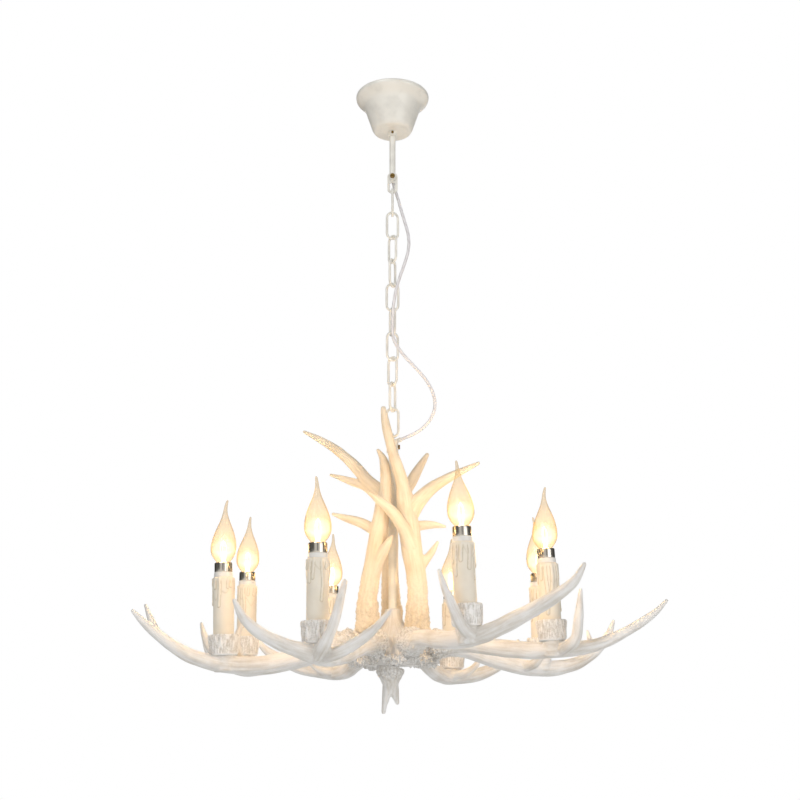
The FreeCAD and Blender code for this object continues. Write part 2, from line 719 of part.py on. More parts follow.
# Arms: radius from the axis, swing in degrees from the arm's own azimuth, height, thickness radius.
# Every arm's first tine is its beam, which leaves the hub's socket level.
ARMS = {
    1: [  # front right
        [
            (socket_reach, 0, socket_height, 13),
            (110, 0, 101, 12),
            (170, 0, 96, 12),
            (225, 1, 94, 12.5),
            (263, 3.7, 98, 11.5),
            (292, 7.9, 112, 10.5),
            (319, 11.4, 127, 9.3),
            (345, 13.3, 141, 8),
            (369, 15.2, 160, 6),
            (380, 16, 178, 3.2),
        ],
        [
            (250, 2, 97, 9.5),
            (275, -5, 111, 8.3),
            (277, -7, 129, 7.5),
            (274, -8.7, 150, 6),
            (268, -10, 175, 2.8),
        ],
    ],
    2: [  # right, towards the front
        [
            (socket_reach, 0, socket_height, 13),
            (125, 0, 96, 12),
            (160, 0, 91, 12),
            (211, 0, 86, 12),
            (240, 0, 86, 11.5),
            (268, 0.5, 87, 10.3),
            (297, 1.5, 91, 8.8),
            (331, 2.2, 104, 7.5),
            (362, 2.8, 121, 6),
            (385, 3.1, 137, 4.4),
            (398, 3.2, 150, 2.6),
        ],
        [(258, -1, 87, 9), (280, -4.6, 99, 8), (286, -5, 125, 6.8), (290, -4.4, 165, 2.6)],
        [(225, 1, 86, 8), (236, 9, 86, 6.5), (240, 14, 95, 5), (238, 17, 108, 2.5)],
    ],
    3: [  # right, towards the back
        [
            (socket_reach, 0, socket_height, 13),
            (118, 0, 93, 12),
            (171, 0, 79, 12),
            (225, 0, 69, 12),
            (259, 0, 68, 12),
            (318, -0.7, 80, 9.5),
            (350, -1.2, 101, 8),
            (366, -1.8, 120, 6),
            (376, -2.3, 143, 2.8),
        ],
        [(335, -0.5, 90, 7.5), (350, 2, 102, 6), (353, 3.4, 116, 4.4), (352, 4, 129, 2.4)],
        [(215, 0, 70, 8), (225, -7, 75, 7), (232, -9.5, 86, 5), (236, -10, 97, 3.5)],
    ],
    4: [  # rear right
        [
            (socket_reach, 0, socket_height, 13),
            (110, 0, 88, 12),
            (160, 0, 70, 12),
            (205, 0, 61, 12),
            (249, -1.5, 59, 12),
            (280, -9, 65, 10.5),
            (302, -14, 80, 8.5),
            (318, -16.5, 99, 6),
            (328, -18, 120, 2.8),
        ],
        [(255, 1, 60, 9.5), (300, 4, 68, 8.5), (340, 6, 88, 6.5), (362, 7, 117, 2.8)],
        [(235, -2, 61, 8), (232, -9, 66, 6.5), (236, -13, 78, 5), (240, -14, 93, 3)],
    ],
    5: [  # rear left
        [
            (socket_reach, 0, socket_height, 13),
            (110, 0, 88, 12),
            (160, 0, 75, 12),
            (205, 0, 67, 12),
            (249, 1.5, 67, 12),
            (288, 9, 74, 10.5),
            (315, 15, 91, 8.5),
            (332, 18.5, 108, 6),
            (342, 20.5, 128, 2.8),
        ],
        [(255, -1, 68, 9.5), (300, -4, 75, 8.5), (342, -6, 95, 6.5), (364, -7, 123, 2.8)],
        [(235, 2, 68, 8), (234, 8, 71, 6.5), (238, 12, 83, 5), (242, 13.5, 100, 3)],
    ],
    6: [  # left, towards the back
        [
            (socket_reach, 0, socket_height, 13),
            (110, 0, 89, 12),
            (160, 0, 78, 12),
            (210, 0, 70, 12),
            (255, 0, 69, 12),
            (288, 1, 82, 10),
            (306, 1.8, 102, 7.5),
            (316, 2.2, 121, 5),
            (321, 2.4, 138, 2.6),
        ],
        [(270, -1, 73, 9), (305, -4, 81, 8), (338, -6, 99, 6), (355, -7, 123, 2.6)],
        [(220, 1, 70, 8), (228, 8, 73, 6.5), (232, 12, 84, 5), (234, 13, 100, 2.8)],
    ],
    7: [  # left, towards the front
        [
            (socket_reach, 0, socket_height, 13),
            (110, 0, 89, 12),
            (150, 0, 77, 12),
            (195, 0, 67, 12),
            (240, 0, 65.5, 12),
            (275, 0.5, 70, 11),
            (303, 1, 78, 9.8),
            (330, 2, 91, 8.5),
            (354, 2.6, 107, 7),
            (372, 3, 121, 5),
            (385, 3.2, 133, 2.8),
        ],
        [(318, 1, 85, 8), (339, -2, 102, 6.5), (350, -5, 124, 5), (359, -7, 147, 2.5)],
        [(210, -1, 67, 8), (224, -7, 75, 7), (229, -9.5, 95, 6), (226, -10, 114, 4.5), (220, -9, 133, 2.4)],
    ],
    8: [  # front left
        [
            (socket_reach, 0, socket_height, 13),
            (110, 0, 90, 12),
            (170, 0, 76, 12),
            (225, 0, 71, 12.5),
            (262, -1.5, 74, 12),
            (296, -4.8, 81, 10.8),
            (318, -6, 88, 9.8),
            (340, -7, 98, 8.5),
            (360, -8, 116, 6),
            (370, -8.5, 132, 3),
        ],
        [(255, 1, 72, 9.5), (277, 5.2, 87, 8.2), (276, 7, 108, 7), (270, 8.3, 136, 6), (262, 9.2, 162, 3.6)],
        [(245, 1, 71, 9.5), (262, 7, 73, 8.5), (266, 12, 83, 7.6), (263, 17, 100, 6), (258, 22, 126, 3)],
    ],
}

# Candle on each arm: how far beyond the ring, swing in degrees from the arm's azimuth, seat height,
# lean in degrees and the azimuth that it leans to.
CANDLES = (
    (0, 0, 108, 2.2, 180),
    (-8, 0, 98.5, 2.1, 180),
    (1, 0, 86, 0, 0),
    (0, -0.9, 73, 0.6, 90),
    (6.5, 2.9, 82, 2.5, 0),
    (-2, 0, 88, 0.6, 180),
    (3.5, 0, 78, 2.6, 180),
    (0, 0, 86.5, 0.8, 170),
)


def upright(number):
    """One standing antler, its foot flat on the hub."""
    tines = []
    for rows in UPRIGHTS[number]:
        points = [V(x, y, at_height(h)) for x, y, h, thick in rows]
        tines.append(tine(points, [row[3] for row in rows]))
    x, y, foot, thick = UPRIGHTS[number][0][0]
    coronet = Part.makeCylinder(thick + upright_coronet, coronet_length, V(x, y, at_height(foot)))
    column = Part.makeCylinder(column_foot_radius + GAP, coronet_length, V(0, 0, at_height(foot)))
    tines.append(coronet.cut(column))
    below = Part.makeCylinder(hub_rim_radius, hub_top - hub_bottom, V(0, 0, at_height(hub_bottom)))
    return joined(tines, [below])


def polar(radius, degrees, height):
    """Point at a radius and azimuth, at a height above the finial's tip."""
    angle = math.radians(degrees)
    return V(radius * math.cos(angle), radius * math.sin(angle), at_height(height))


def seat_of(number):
    """Middle of a candle's seat."""
    beyond, swing, height, lean, towards = CANDLES[number - 1]
    return polar(ring_radius + beyond, azimuth_of(number) + swing, height)


def azimuth_of(number):
    """Azimuth of an arm, in degrees from +X."""
    return first_azimuth + (number - 1) * 360 / light_count


def leaning(shape, number):
    """Shape leant about the candle's seat as that candle leans."""
    beyond, swing, height, lean, towards = CANDLES[number - 1]
    angle = math.radians(towards)
    return turned(shape, lean, seat_of(number), V(-math.sin(angle), math.cos(angle), 0))


def arm(number):
    """One lower antler with its coronet, candle seat, root bore and nipple hole."""
    azimuth = azimuth_of(number)
    stretch = (ring_radius - socket_reach) / (arm_drawn_ring - socket_reach)
    pieces = []
    for rows in ARMS[number]:
        points, radii = [], []
        for radius, swing, height, thick in rows:
            out = socket_reach + (radius - socket_reach) * stretch
            points.append(polar(out, azimuth + swing, height))
            radii.append(thick)
        pieces.append(tine(points, radii))
    axis = polar(0, azimuth, socket_height)
    root = polar(socket_reach, azimuth, socket_height)
    pieces.append(rod(coronet_radius, root, polar(socket_reach + coronet_length, azimuth, socket_height)))
    seat = seat_of(number)
    pedestal = Part.makeCone(seat_radius - seat_taper, seat_radius, seat_depth, seat - UP * seat_depth, UP)
    pieces.append(leaning(pedestal, number))
    drill = Part.makeCylinder(nipple_radius + FIT, nipple_down, seat - UP * nipple_down)
    over = Part.makeCylinder(cup_top_radius + cup_room, cup_height + cup_room, seat)
    bolt_hole = rod(bolt_radius + FIT, axis, polar(bolt_end + GAP, azimuth, socket_height))
    socket_side = rod(2 * socket_radius, axis, root)
    return joined(pieces, [leaning(drill, number), leaning(over, number), bolt_hole, socket_side])


# ---------------------------------------------------------------- candles and bulbs
def on_every_arm(shape):
    """Copies of a shape, made about Z with its foot at zero, one on each candle seat."""
    copies = []
    for number in range(1, light_count + 1):
        seat = seat_of(number)
        copies.append(leaning(moved(shape, seat.x, seat.y, seat.z), number))
    return copies


def candle_cup():
    """Cup with a recess for the sleeve and a hole for the nipple."""
    recess = sleeve_radius + cup_play
    return solid_of(
        [
            (nipple_radius + FIT, 0),
            (cup_bottom_radius, 0),
            (cup_bottom_radius + 1.5, cup_height * 0.3),
            (cup_top_radius, cup_height * 0.8),
            (cup_top_radius - 0.6, cup_height),
            (recess, cup_height),
            (recess, cup_floor),
            (nipple_radius + FIT, cup_floor),
        ]
    )


def candle_sleeve():
    """Plain tube that stands in the cup and hides the lampholder."""
    return ring(sleeve_radius, sleeve_radius - sleeve_wall, cup_floor, sleeve_top)


def lampholder():
    """Holder with the bulb's bore above and the nipple's thread below."""
    bore = cap_radius + cap_play
    return solid_of(
        [
            (nipple_radius + FIT, cup_floor),
            (holder_radius - holder_step, cup_floor),
            (holder_radius - holder_step, sleeve_top - holder_head),
            (holder_radius, sleeve_top - holder_head + holder_step),
            (holder_radius, holder_top - holder_bevel),
            (holder_radius - holder_bevel, holder_top),
            (bore, holder_top),
            (bore, holder_top - holder_bore_depth),
            (nipple_bore, holder_top - holder_bore_depth),
            (nipple_bore, nipple_up),
            (nipple_radius + FIT, nipple_up),
        ]
    )


def holder_nipple():
    """Threaded nipple through the cup's floor, from the arm into the lampholder."""
    return ring(nipple_radius, nipple_bore, -nipple_down, nipple_up)


def bulb_base():
    """Screw cap and the chrome collar above it."""
    collar_foot = holder_top + GAP
    return solid_of(
        [
            (0, collar_foot - cap_length),
            (cap_contact_radius, collar_foot - cap_length),
            (cap_radius, collar_foot - cap_length + cap_nose),
            (cap_radius, collar_foot),
            (collar_chrome_radius, collar_foot),
            (collar_chrome_radius, glass_foot - collar_bevel),
            (collar_chrome_radius - collar_bevel, glass_foot),
            (0, glass_foot),
        ]
    )


def bulb_glass(lean_towards):
    """Hollow flame glass whose tip leans towards an azimuth."""
    shells = []
    for inset in (0.0, glass_wall):
        circles = []
        for height, radius, lean in glass_profile:
            level = glass_foot + height
            circle = Part.Circle(V(lean, 0, level), UP, radius - inset)
            circles.append(Part.Wire([circle.toShape()]))
        height, lean = glass_tip
        circles.append(Part.Vertex(V(lean, 0, glass_foot + height - 2 * inset)))
        shells.append(Part.makeLoft(circles, True, False))
    return turned(shells[0].cut(shells[1]), lean_towards)


TIP_LEANS = (110, 20, 200, 60, 110, 70, 0, 118)  # azimuth that each flame tip leans to


def main():
    os.makedirs("parts", exist_ok=True)
    save("ceiling_strap", ceiling_strap())
    save("hanger_tube", hanger_tube())
    save("tube_nuts", *tube_nuts())
    save("canopy_cup", canopy_cup())
    save("canopy_collar", canopy_collar())
    save("canopy_set_screw", canopy_set_screw())
    save("terminal_block", terminal_block())
    save("hanger_lug", hanger_lug())
    save("lug_screw", lug_screw())
    for number in range(1, link_count + 1):
        save(f"chain_link_{number:02d}", chain_link(number))
    save("power_cord", power_cord())
    save("top_eye", top_eye())
    save("eye_screw", eye_screw())
    save("centre_rod", centre_rod())
    save("hub", hub())
    save("hub_nut", hub_nut())
    save("hub_plate", hub_plate())
    save("arm_bolts", *arm_bolts())
    save("finial", finial())
    for number in UPRIGHTS:
        save(f"upright_{number}", upright(number))
    for number in ARMS:
        save(f"arm_{number}", arm(number))
    save("candle_cups", *on_every_arm(candle_cup()))
    save("candle_sleeves", *on_every_arm(candle_sleeve()))
    save("lampholders", *on_every_arm(lampholder()))
    save("holder_nipples", *on_every_arm(holder_nipple()))
    bases = on_every_arm(bulb_base())
    for number in range(1, light_count + 1):
        glass = on_every_arm(bulb_glass(TIP_LEANS[number - 1]))[number - 1]
        save(f"bulb_base_{number}", bases[number - 1])
        save(f"bulb_glass_{number}", glass)
    print(f"chandelier tip at {tip_height:.1f} mm, hung from {last_bar:.1f} mm")


main()
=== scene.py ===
import json
import logging
import math
from dataclasses import dataclass, field
from enum import Enum
from functools import cache
from typing import TypeAlias

import bpy
import numpy as np
from mathutils import Matrix, noise, Vector

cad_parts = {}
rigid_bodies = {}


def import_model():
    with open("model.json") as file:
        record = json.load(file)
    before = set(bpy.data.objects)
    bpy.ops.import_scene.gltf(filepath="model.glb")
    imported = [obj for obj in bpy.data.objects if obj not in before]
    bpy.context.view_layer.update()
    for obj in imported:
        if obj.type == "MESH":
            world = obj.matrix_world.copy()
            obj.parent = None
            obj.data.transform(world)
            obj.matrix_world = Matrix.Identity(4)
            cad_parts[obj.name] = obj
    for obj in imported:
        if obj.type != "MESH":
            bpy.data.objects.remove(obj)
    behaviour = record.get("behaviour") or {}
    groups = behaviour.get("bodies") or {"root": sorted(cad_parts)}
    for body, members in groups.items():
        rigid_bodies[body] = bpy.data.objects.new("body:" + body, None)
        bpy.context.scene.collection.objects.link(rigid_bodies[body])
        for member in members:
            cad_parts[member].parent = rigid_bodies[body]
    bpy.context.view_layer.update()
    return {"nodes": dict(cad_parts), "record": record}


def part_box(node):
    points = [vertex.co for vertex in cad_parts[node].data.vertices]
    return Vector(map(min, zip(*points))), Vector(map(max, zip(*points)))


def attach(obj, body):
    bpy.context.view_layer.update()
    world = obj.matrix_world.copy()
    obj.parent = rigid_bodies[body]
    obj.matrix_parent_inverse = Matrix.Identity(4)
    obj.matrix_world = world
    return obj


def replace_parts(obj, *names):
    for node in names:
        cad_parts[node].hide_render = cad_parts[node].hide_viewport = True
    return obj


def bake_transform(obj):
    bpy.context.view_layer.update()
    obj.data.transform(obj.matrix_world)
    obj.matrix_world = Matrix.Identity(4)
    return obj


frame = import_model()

log = logging.getLogger("antler_chandelier")

MM = 0.001
TIP_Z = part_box("finial")[0][2]  # the finial's lowest tip, which antler heights are measured from
UP = np.array([0.0, 0.0, 1.0])
HUNG = "chandelier"  # body that hangs from the chain
LIGHTS = 8
FIRST_AZIMUTH = -67.5  # degrees from +X to the first arm
CANDLE_RING = 249.0  # mm, candles round the hub
SOCKET_REACH = 64.0  # mm, hub's sockets end here
SOCKET_HEIGHT = 98.0  # mm above the finial's tip, as all antler heights
HUB_TOP = 120.0


class Slot(Enum):
    """Material slots of the part's record."""

    RESIN = "ivory_resin"
    METAL = "cream_metal"
    WAX = "candle_wax"
    PLASTIC = "white_plastic"
    SHEATH = "clear_cord"
    CHROME = "chrome_collar"
    BRASS = "brass_screw"
    STEEL = "zinc_steel"
    GLASS = "bulb_glass"


# ---------------------------------------------------------------- shader expressions
Value: TypeAlias = "Signal | float | tuple"


class Signal:
    """Output socket of a shader node that can stand in a Python expression."""

    def __init__(self, wiring: "Wiring", socket: bpy.types.NodeSocket) -> None:
        """Keep the socket and the wiring that it belongs to."""
        self.wiring = wiring
        self.socket = socket

    def __add__(self, other: Value) -> "Signal":
        """Sum of two signals."""
        return self.wiring.combined("ADD", self, other)

    def __sub__(self, other: Value) -> "Signal":
        """Difference of two signals."""
        return self.wiring.combined("SUBTRACT", self, other)

    def __rsub__(self, other: Value) -> "Signal":
        """Difference from a plain value on the left."""
        return self.wiring.combined("SUBTRACT", other, self)

    def __mul__(self, other: Value) -> "Signal":
        """Product of two signals."""
        return self.wiring.combined("MULTIPLY", self, other)

    def is_number(self) -> bool:
        """True for a single value, not a vector or a colour."""
        return self.socket.type == "VALUE"

    def is_colour(self) -> bool:
        """True for a colour."""
        return self.socket.type == "RGBA"


class Wiring:
    """Node tree whose nodes are made by kind and joined by expressions."""

    def __init__(self, tree: bpy.types.NodeTree) -> None:
        """Keep the tree."""
        self.tree = tree

    def feed(self, socket: bpy.types.NodeSocket, value: Value) -> None:
        """Link a signal to a socket, or set the socket's own value.

        Args:
            socket: The input that takes the value.
            value: A signal, a number, or a colour or vector as a tuple.
        """
        if isinstance(value, Signal):
            self.tree.links.new(value.socket, socket)
        elif isinstance(value, tuple) and socket.type == "RGBA":
            socket.default_value = (*value[:3], 1.0)
        elif isinstance(value, (int, float)) and socket.type == "RGBA":
            socket.default_value = (value, value, value, 1.0)
        else:
            socket.default_value = value

    def node(self, kind: str, settings: dict, inputs: dict, output: "str | int" = 0) -> Signal:
        """Add any node.

        Args:
            kind: The node's type.
            settings: Its properties, with a colour ramp's stops under "stops".
            inputs: Values or signals by the input's name or number.
            output: Name or number of the output that is wanted.

        Returns:
            The output as a signal.
        """
        made = self.tree.nodes.new(kind)
        for name, value in settings.items():
            if name == "stops":
                self.set_stops(made.color_ramp, value)
            else:
                setattr(made, name, value)
        for name, value in inputs.items():
            self.feed(made.inputs[name], value)
        return Signal(self, made.outputs[output])

    @staticmethod
    def set_stops(ramp: bpy.types.ColorRamp, stops: tuple) -> None:
        """Set a ramp's stops, given as (place, colour or grey) pairs."""
        while len(ramp.elements) < len(stops):
            ramp.elements.new(1.0)
        for element, (place, tint) in zip(ramp.elements, stops):
            element.position = place
            element.color = (*tint, 1.0) if isinstance(tint, tuple) else (tint, tint, tint, 1.0)

    def combined(self, operation: str, left: Value, right: Value) -> Signal:
        """Add the node that works out an operation on two values.

        Args:
            operation: ADD, SUBTRACT, MULTIPLY or, for numbers, MAXIMUM.
            left: First value.
            right: Second value.

        Returns:
            The result.
        """
        signals = [value for value in (left, right) if isinstance(value, Signal)]
        if any(value.is_colour() for value in signals):
            settings = {"data_type": "RGBA", "blend_type": operation, "clamp_result": False}
            return self.node("ShaderNodeMix", settings, {0: 1.0, 6: left, 7: right}, 2)
        vectors = isinstance(left, tuple) or isinstance(right, tuple)
        if all(value.is_number() for value in signals) and not vectors:
            return self.node("ShaderNodeMath", {"operation": operation}, {0: left, 1: right})
        pair = [(value,) * 3 if isinstance(value, (int, float)) else value for value in (left, right)]
        return self.node("ShaderNodeVectorMath", {"operation": operation}, dict(enumerate(pair)))

    def blend(self, low: "Signal | tuple", high: "Signal | tuple", share: "Signal | float") -> Signal:
        """Colour between two colours, at a share of the second."""
        return self.node("ShaderNodeMix", {"data_type": "RGBA"}, {0: share, 6: low, 7: high}, 2)

    def place(self) -> Signal:
        """Position in the object's own frame, in metres."""
        return self.node("ShaderNodeTexCoord", {}, {}, "Object")

    def kept(self, name: str, output: str = "Vector") -> Signal:
        """Attribute that the mesh carries."""
        return self.node("ShaderNodeAttribute", {"attribute_name": name}, {}, output)

    def cloud(self, where: Signal, scale: float, detail: float = 3.0, roughness: float = 0.55) -> Signal:
        """Noise between 0 and 1 at a scale per metre."""
        inputs = {"Vector": where, "Scale": scale, "Detail": detail, "Roughness": roughness}
        return self.node("ShaderNodeTexNoise", {}, inputs, "Fac")

    def cells(self, where: Signal, scale: float) -> Signal:
        """Distance to the nearest of scattered points, at a scale per metre."""
        return self.node("ShaderNodeTexVoronoi", {}, {"Vector": where, "Scale": scale}, "Distance")

    def ramp(self, value: Signal, *stops: tuple) -> Signal:
        """Value through a colour ramp."""
        return self.node("ShaderNodeValToRGB", {"stops": stops}, {0: value}, "Color")

    def span(self, value: Signal, low: float, high: float) -> Signal:
        """Value taken from low..high to 0..1 and clamped."""
        return self.node("ShaderNodeMapRange", {}, {"Value": value, "From Min": low, "From Max": high})

    def dents(self, height: Signal, depth: float, strength: float = 1.0) -> Signal:
        """Normal of a bumpy surface whose relief is depth metres."""
        inputs = {"Strength": strength, "Distance": depth, "Height": height}
        return self.node("ShaderNodeBump", {}, inputs, "Normal")

    def ray(self, kind: str) -> Signal:
        """1 for a ray of this kind, else 0."""
        return self.node("ShaderNodeLightPath", {}, {}, f"Is {kind} Ray")


class Painter(Wiring):
    """Wiring of one material, built round its Principled shader."""

    def __init__(self, name: str) -> None:
        """Start a material of this name."""
        self.material = bpy.data.materials.new(name)
        self.material.use_nodes = True
        super().__init__(self.material.node_tree)
        self.shader = self.tree.nodes["Principled BSDF"]

    def paint(self, **inputs: Value) -> None:
        """Feed the shader; an input's name has _ for each space."""
        for name, value in inputs.items():
            self.feed(self.shader.inputs[name.replace("_", " ")], value)


def shade(code: str, share: float = 1.0) -> tuple[float, float, float]:
    """Linear colour of a six-figure web colour, or a share of it."""
    parts = [int(code[i : i + 2], 16) / 255 for i in (0, 2, 4)]
    return tuple(share * (p / 12.92 if p <= 0.04045 else ((p + 0.055) / 1.055) ** 2.4) for p in parts)


# ---------------------------------------------------------------- finishes
@dataclass(frozen=True)
class Finish:
    """Look of one kind of surface. Each kind says what it feeds to the shader."""

    name: str

    def inputs(self, paint: Painter) -> dict:
        """Shader inputs by name, with _ for each space."""
        raise NotImplementedError

    @cache
    def material(self) -> bpy.types.Material:
        """Build the material, once."""
        paint = Painter(self.name)
        paint.paint(**self.inputs(paint))
        return paint.material


@dataclass(frozen=True)
class CastResin(Finish):
    """Ivory-white cast resin with the grooves and pimples of antler, and painted shade in the pits of its
    burrs.
    """

    name: str = "cast_resin"
    light: str = "F2F0ED"
    dark: str = "CDC4B6"
    pit_shade_colour: str = "8F8577"

    def inputs(self, paint: Painter) -> dict:
        """Shader inputs by name."""
        where, grain = paint.place(), paint.kept("grain")
        burr = paint.kept("burr", "Fac")
        patches = paint.cloud(where, 22.0, 4.0)
        streaks = paint.cloud(grain, 260.0, 4.0, 0.6)
        pimples = paint.cells(where, 330.0)
        crumbs = paint.cloud(where, 900.0, 2.0)
        wear = paint.span(patches * 0.5 + streaks * 0.5, 0.44, 0.72)
        worn = paint.blend(shade(self.light), shade(self.dark), wear)
        # Painted shade: the pits between the burr's pimples are darkened where shade falls.
        pit_shade = burr * paint.span(pimples, 0.50, 0.66)
        colour = paint.blend(worn, shade(self.pit_shade_colour), pit_shade * 0.5)
        relief = streaks * 0.6 + crumbs * 0.08 + burr * (1.0 - pimples) * 2.0
        return dict(
            Base_Color=colour,
            Roughness=paint.span(patches, 0.2, 0.8) * 0.16 - burr * 0.1 + 0.40,
            Normal=paint.dents(relief, 0.0018, 0.9),
            Specular_IOR_Level=0.35,
        )


@dataclass(frozen=True)
class SatinMetal(Finish):
    """Metal under satin cream paint with a faint orange peel."""

    name: str = "satin_cream_metal"
    tint: str = "F4F2EA"

    def inputs(self, paint: Painter) -> dict:
        """Shader inputs by name."""
        where = paint.place()
        film, peel = paint.cloud(where, 35.0), paint.cloud(where, 1300.0, 2.0)
        colour = paint.blend(shade(self.tint), shade(self.tint, 0.84), paint.span(film, 0.45, 0.75))
        return dict(
            Base_Color=colour,
            Roughness=film * 0.2 + 0.24,
            Normal=paint.dents(peel, 0.0001, 0.5),
            Coat_Weight=0.25,
        )


@dataclass(frozen=True)
class CandleWax(Finish):
    """Ivory sleeve moulded to look like dripped wax."""

    name: str = "candle_wax"
    tint: str = "F1E9DA"
    shadow: str = "C9BA9F"

    def inputs(self, paint: Painter) -> dict:
        """Shader inputs by name."""
        where = paint.place()
        bloom, grit = paint.cloud(where, 40.0), paint.cloud(where, 700.0)
        edge = paint.kept("drip", "Fac")
        # Painted shade along the edges of the drips and the wax coat, with random tone from the bloom.
        shadow = paint.span(bloom, 0.4, 0.8) * 0.2 + edge * 0.8
        colour = paint.blend(shade(self.tint), shade(self.shadow), shadow)
        return dict(
            Base_Color=colour,
            Roughness=bloom * 0.2 + 0.4,
            Normal=paint.dents(grit, 0.00025, 0.5),
            Subsurface_Weight=0.08,
            Subsurface_Radius=(0.004, 0.003, 0.002),
        )


@dataclass(frozen=True)
class BarkResin(Finish):
    """Cast resin with the furrows of bark, with shade painted into them."""

    name: str = "bark_resin"
    ridge: str = "FAF8F5"
    furrow: str = "AEA597"

    def inputs(self, paint: Painter) -> dict:
        """Shader inputs by name."""
        where = paint.place()
        depth = paint.kept("furrow", "Fac")
        flakes = paint.cells(where, 420.0)
        crumbs = paint.cloud(where, 620.0, 4.0)
        # Painted shade: the furrows darkened where shade falls, with random tone from flakes and crumbs.
        mix = paint.span(depth * 0.75 + flakes * 0.3 + crumbs * 0.35, 0.62, 1.1)
        colour = paint.blend(shade(self.ridge), shade(self.furrow), mix * 0.65)
        return dict(
            Base_Color=colour,
            Roughness=crumbs * 0.2 + 0.5,
            Normal=paint.dents(crumbs * 0.6 - flakes * 0.5, 0.0009, 0.9),
        )


@dataclass(frozen=True)
class BareMetal(Finish):
    """Uncoated metal with fine brushing."""

    name: str
    tint: str
    roughness: float
    brushing: float = 0.2

    def inputs(self, paint: Painter) -> dict:
        """Shader inputs by name."""
        where = paint.place()
        fine, broad = paint.cloud(where, 1500.0, 2.0), paint.cloud(where, 90.0)
        worn = paint.span(broad, 0.45, 0.8) * self.brushing
        colour = paint.blend(shade(self.tint), shade(self.tint, 0.7), worn)
        return dict(
            Base_Color=colour,
            Metallic=1.0,
            Roughness=fine * self.brushing * 0.4 + self.roughness,
            Normal=paint.dents(fine, 0.00005, self.brushing),
        )


@dataclass(frozen=True)
class GlossPlastic(Finish):
    """Smooth white plastic."""

    name: str = "gloss_plastic"
    tint: str = "F0EEEA"

    def inputs(self, paint: Painter) -> dict:
        """Shader inputs by name."""
        haze = paint.cloud(paint.place(), 120.0)
        return dict(
            Base_Color=paint.blend(shade(self.tint), shade(self.tint, 0.9), paint.span(haze, 0.4, 0.8)),
            Roughness=haze * 0.15 + 0.25,
            Normal=paint.dents(haze, 0.00008, 0.4),
        )


@dataclass(frozen=True)
class ClearSheath(Finish):
    """Translucent white sheath over twisted conductors."""

    name: str = "clear_sheath"
    tint: str = "F8F6F8"
    core: str = "E4E0E2"

    def inputs(self, paint: Painter) -> dict:
        """Shader inputs by name."""
        twist = paint.kept("twist", "Fac")
        haze = paint.cloud(paint.place(), 160.0)
        core = paint.ramp(twist, (0.2, 0.0), (0.42, 1.0), (0.6, 1.0), (0.82, 0.0))
        return dict(
            Base_Color=paint.blend(shade(self.tint), shade(self.core), core * 0.7),
            Roughness=haze * 0.2 + 0.18,
            Normal=paint.dents(haze, 0.0001, 0.4),
            Alpha=0.86,
            Coat_Weight=0.5,
        )


@dataclass(frozen=True)
class FlameGlass(Finish):
    """Amber-tinted glass, lit by the filament within."""

    name: str = "flame_glass"
    middle: str = "F3DBA8"
    rim: str = "A0793C"
    heart: str = "FFF6DC"

    def inputs(self, paint: Painter) -> dict:
        """Shader inputs by name."""
        glow, height = paint.kept("glow", "Fac"), paint.kept("height", "Fac")
        edge = paint.node("ShaderNodeLayerWeight", {}, {"Blend": 0.5}, "Facing")
        ripple = paint.cloud(paint.place() * (1.0, 1.0, 0.12), 420.0, 2.0)
        rim = edge * edge * edge
        upper = paint.span(height, 0.3, 0.95)
        amber = paint.span(rim * 1.7 + upper * 0.4 + ripple * 0.55, 0.24, 1.05)
        tinted = paint.blend(shade(self.middle), shade(self.rim), amber)
        heart = glow * paint.span(edge, 0.75, 0.15)
        lit = paint.blend(tinted, shade(self.heart), paint.span(heart, 0.25, 0.7))
        return dict(
            Base_Color=(0.10, 0.07, 0.03),
            Roughness=0.06,
            Alpha=rim * 0.5 + heart * 0.45 + 0.42,
            Emission_Color=lit,
            Emission_Strength=0.88,
            Normal=paint.dents(ripple, 0.0006, 0.5),
        )


@dataclass(frozen=True)
class LitFilament(Finish):
    """Glowing filament."""

    name: str = "lit_filament"
    tint: str = "FFD890"
    strength: float = 6.0

    def inputs(self, paint: Painter) -> dict:
        """Shader inputs by name."""
        flicker = paint.cloud(paint.place(), 800.0, 1.0)
        hot = shade(self.tint)
        return dict(
            Base_Color=hot,
            Emission_Color=paint.blend(hot, (1.0, 0.95, 0.8), flicker),
            Emission_Strength=self.strength,
        )


RESIN = CastResin()
# Painted light: a warmer copy of the resin for the uprights, standing in for the bulbs' warm light on them.
BULB_LIT_RESIN = CastResin("warm_cast_resin", "F1E4CF", "D6C5A8", "A08F76")
CREAM = SatinMetal()
WAX = CandleWax()
BARK = BarkResin()
PLASTIC = GlossPlastic()
SHEATH = ClearSheath()
GLASS = FlameGlass()
FILAMENT = LitFilament()
CHROME = BareMetal("chrome_collar", "CFC8BC", 0.16, 0.1)
BRASS = BareMetal("dull_brass", "8F7444", 0.35, 0.4)
STEEL = BareMetal("zinc_steel", "A9ABAE", 0.35, 0.4)


# ---------------------------------------------------------------- meshes
def linked(name: str, data: bpy.types.ID) -> bpy.types.Object:
    """New object in the scene."""
    made = bpy.data.objects.new(name, data)
    bpy.context.collection.objects.link(made)
    return made


def smoothed(mesh: bpy.types.Mesh) -> bpy.types.Mesh:
    """The mesh with all its faces shaded smooth."""
    mesh.polygons.foreach_set("use_smooth", [True] * len(mesh.polygons))
    return mesh


def made_mesh(name: str, points: np.ndarray, faces: list) -> bpy.types.Mesh:
    """Smooth-shaded mesh.

    Args:
        name: Its name.
        points: Corners, in metres.
        faces: Corner numbers of each face.

    Returns:
        The mesh.
    """
    mesh = bpy.data.meshes.new(name)
    mesh.from_pydata([tuple(point) for point in points], [], faces)
    smoothed(mesh).update()
    return mesh


def piece(name: str, mesh: bpy.types.Mesh, finish: Finish) -> bpy.types.Object:
    """Show a mesh in a finish."""
    shown = linked(name, mesh)
    mesh.materials.clear()
    mesh.materials.append(finish.material())
    return shown


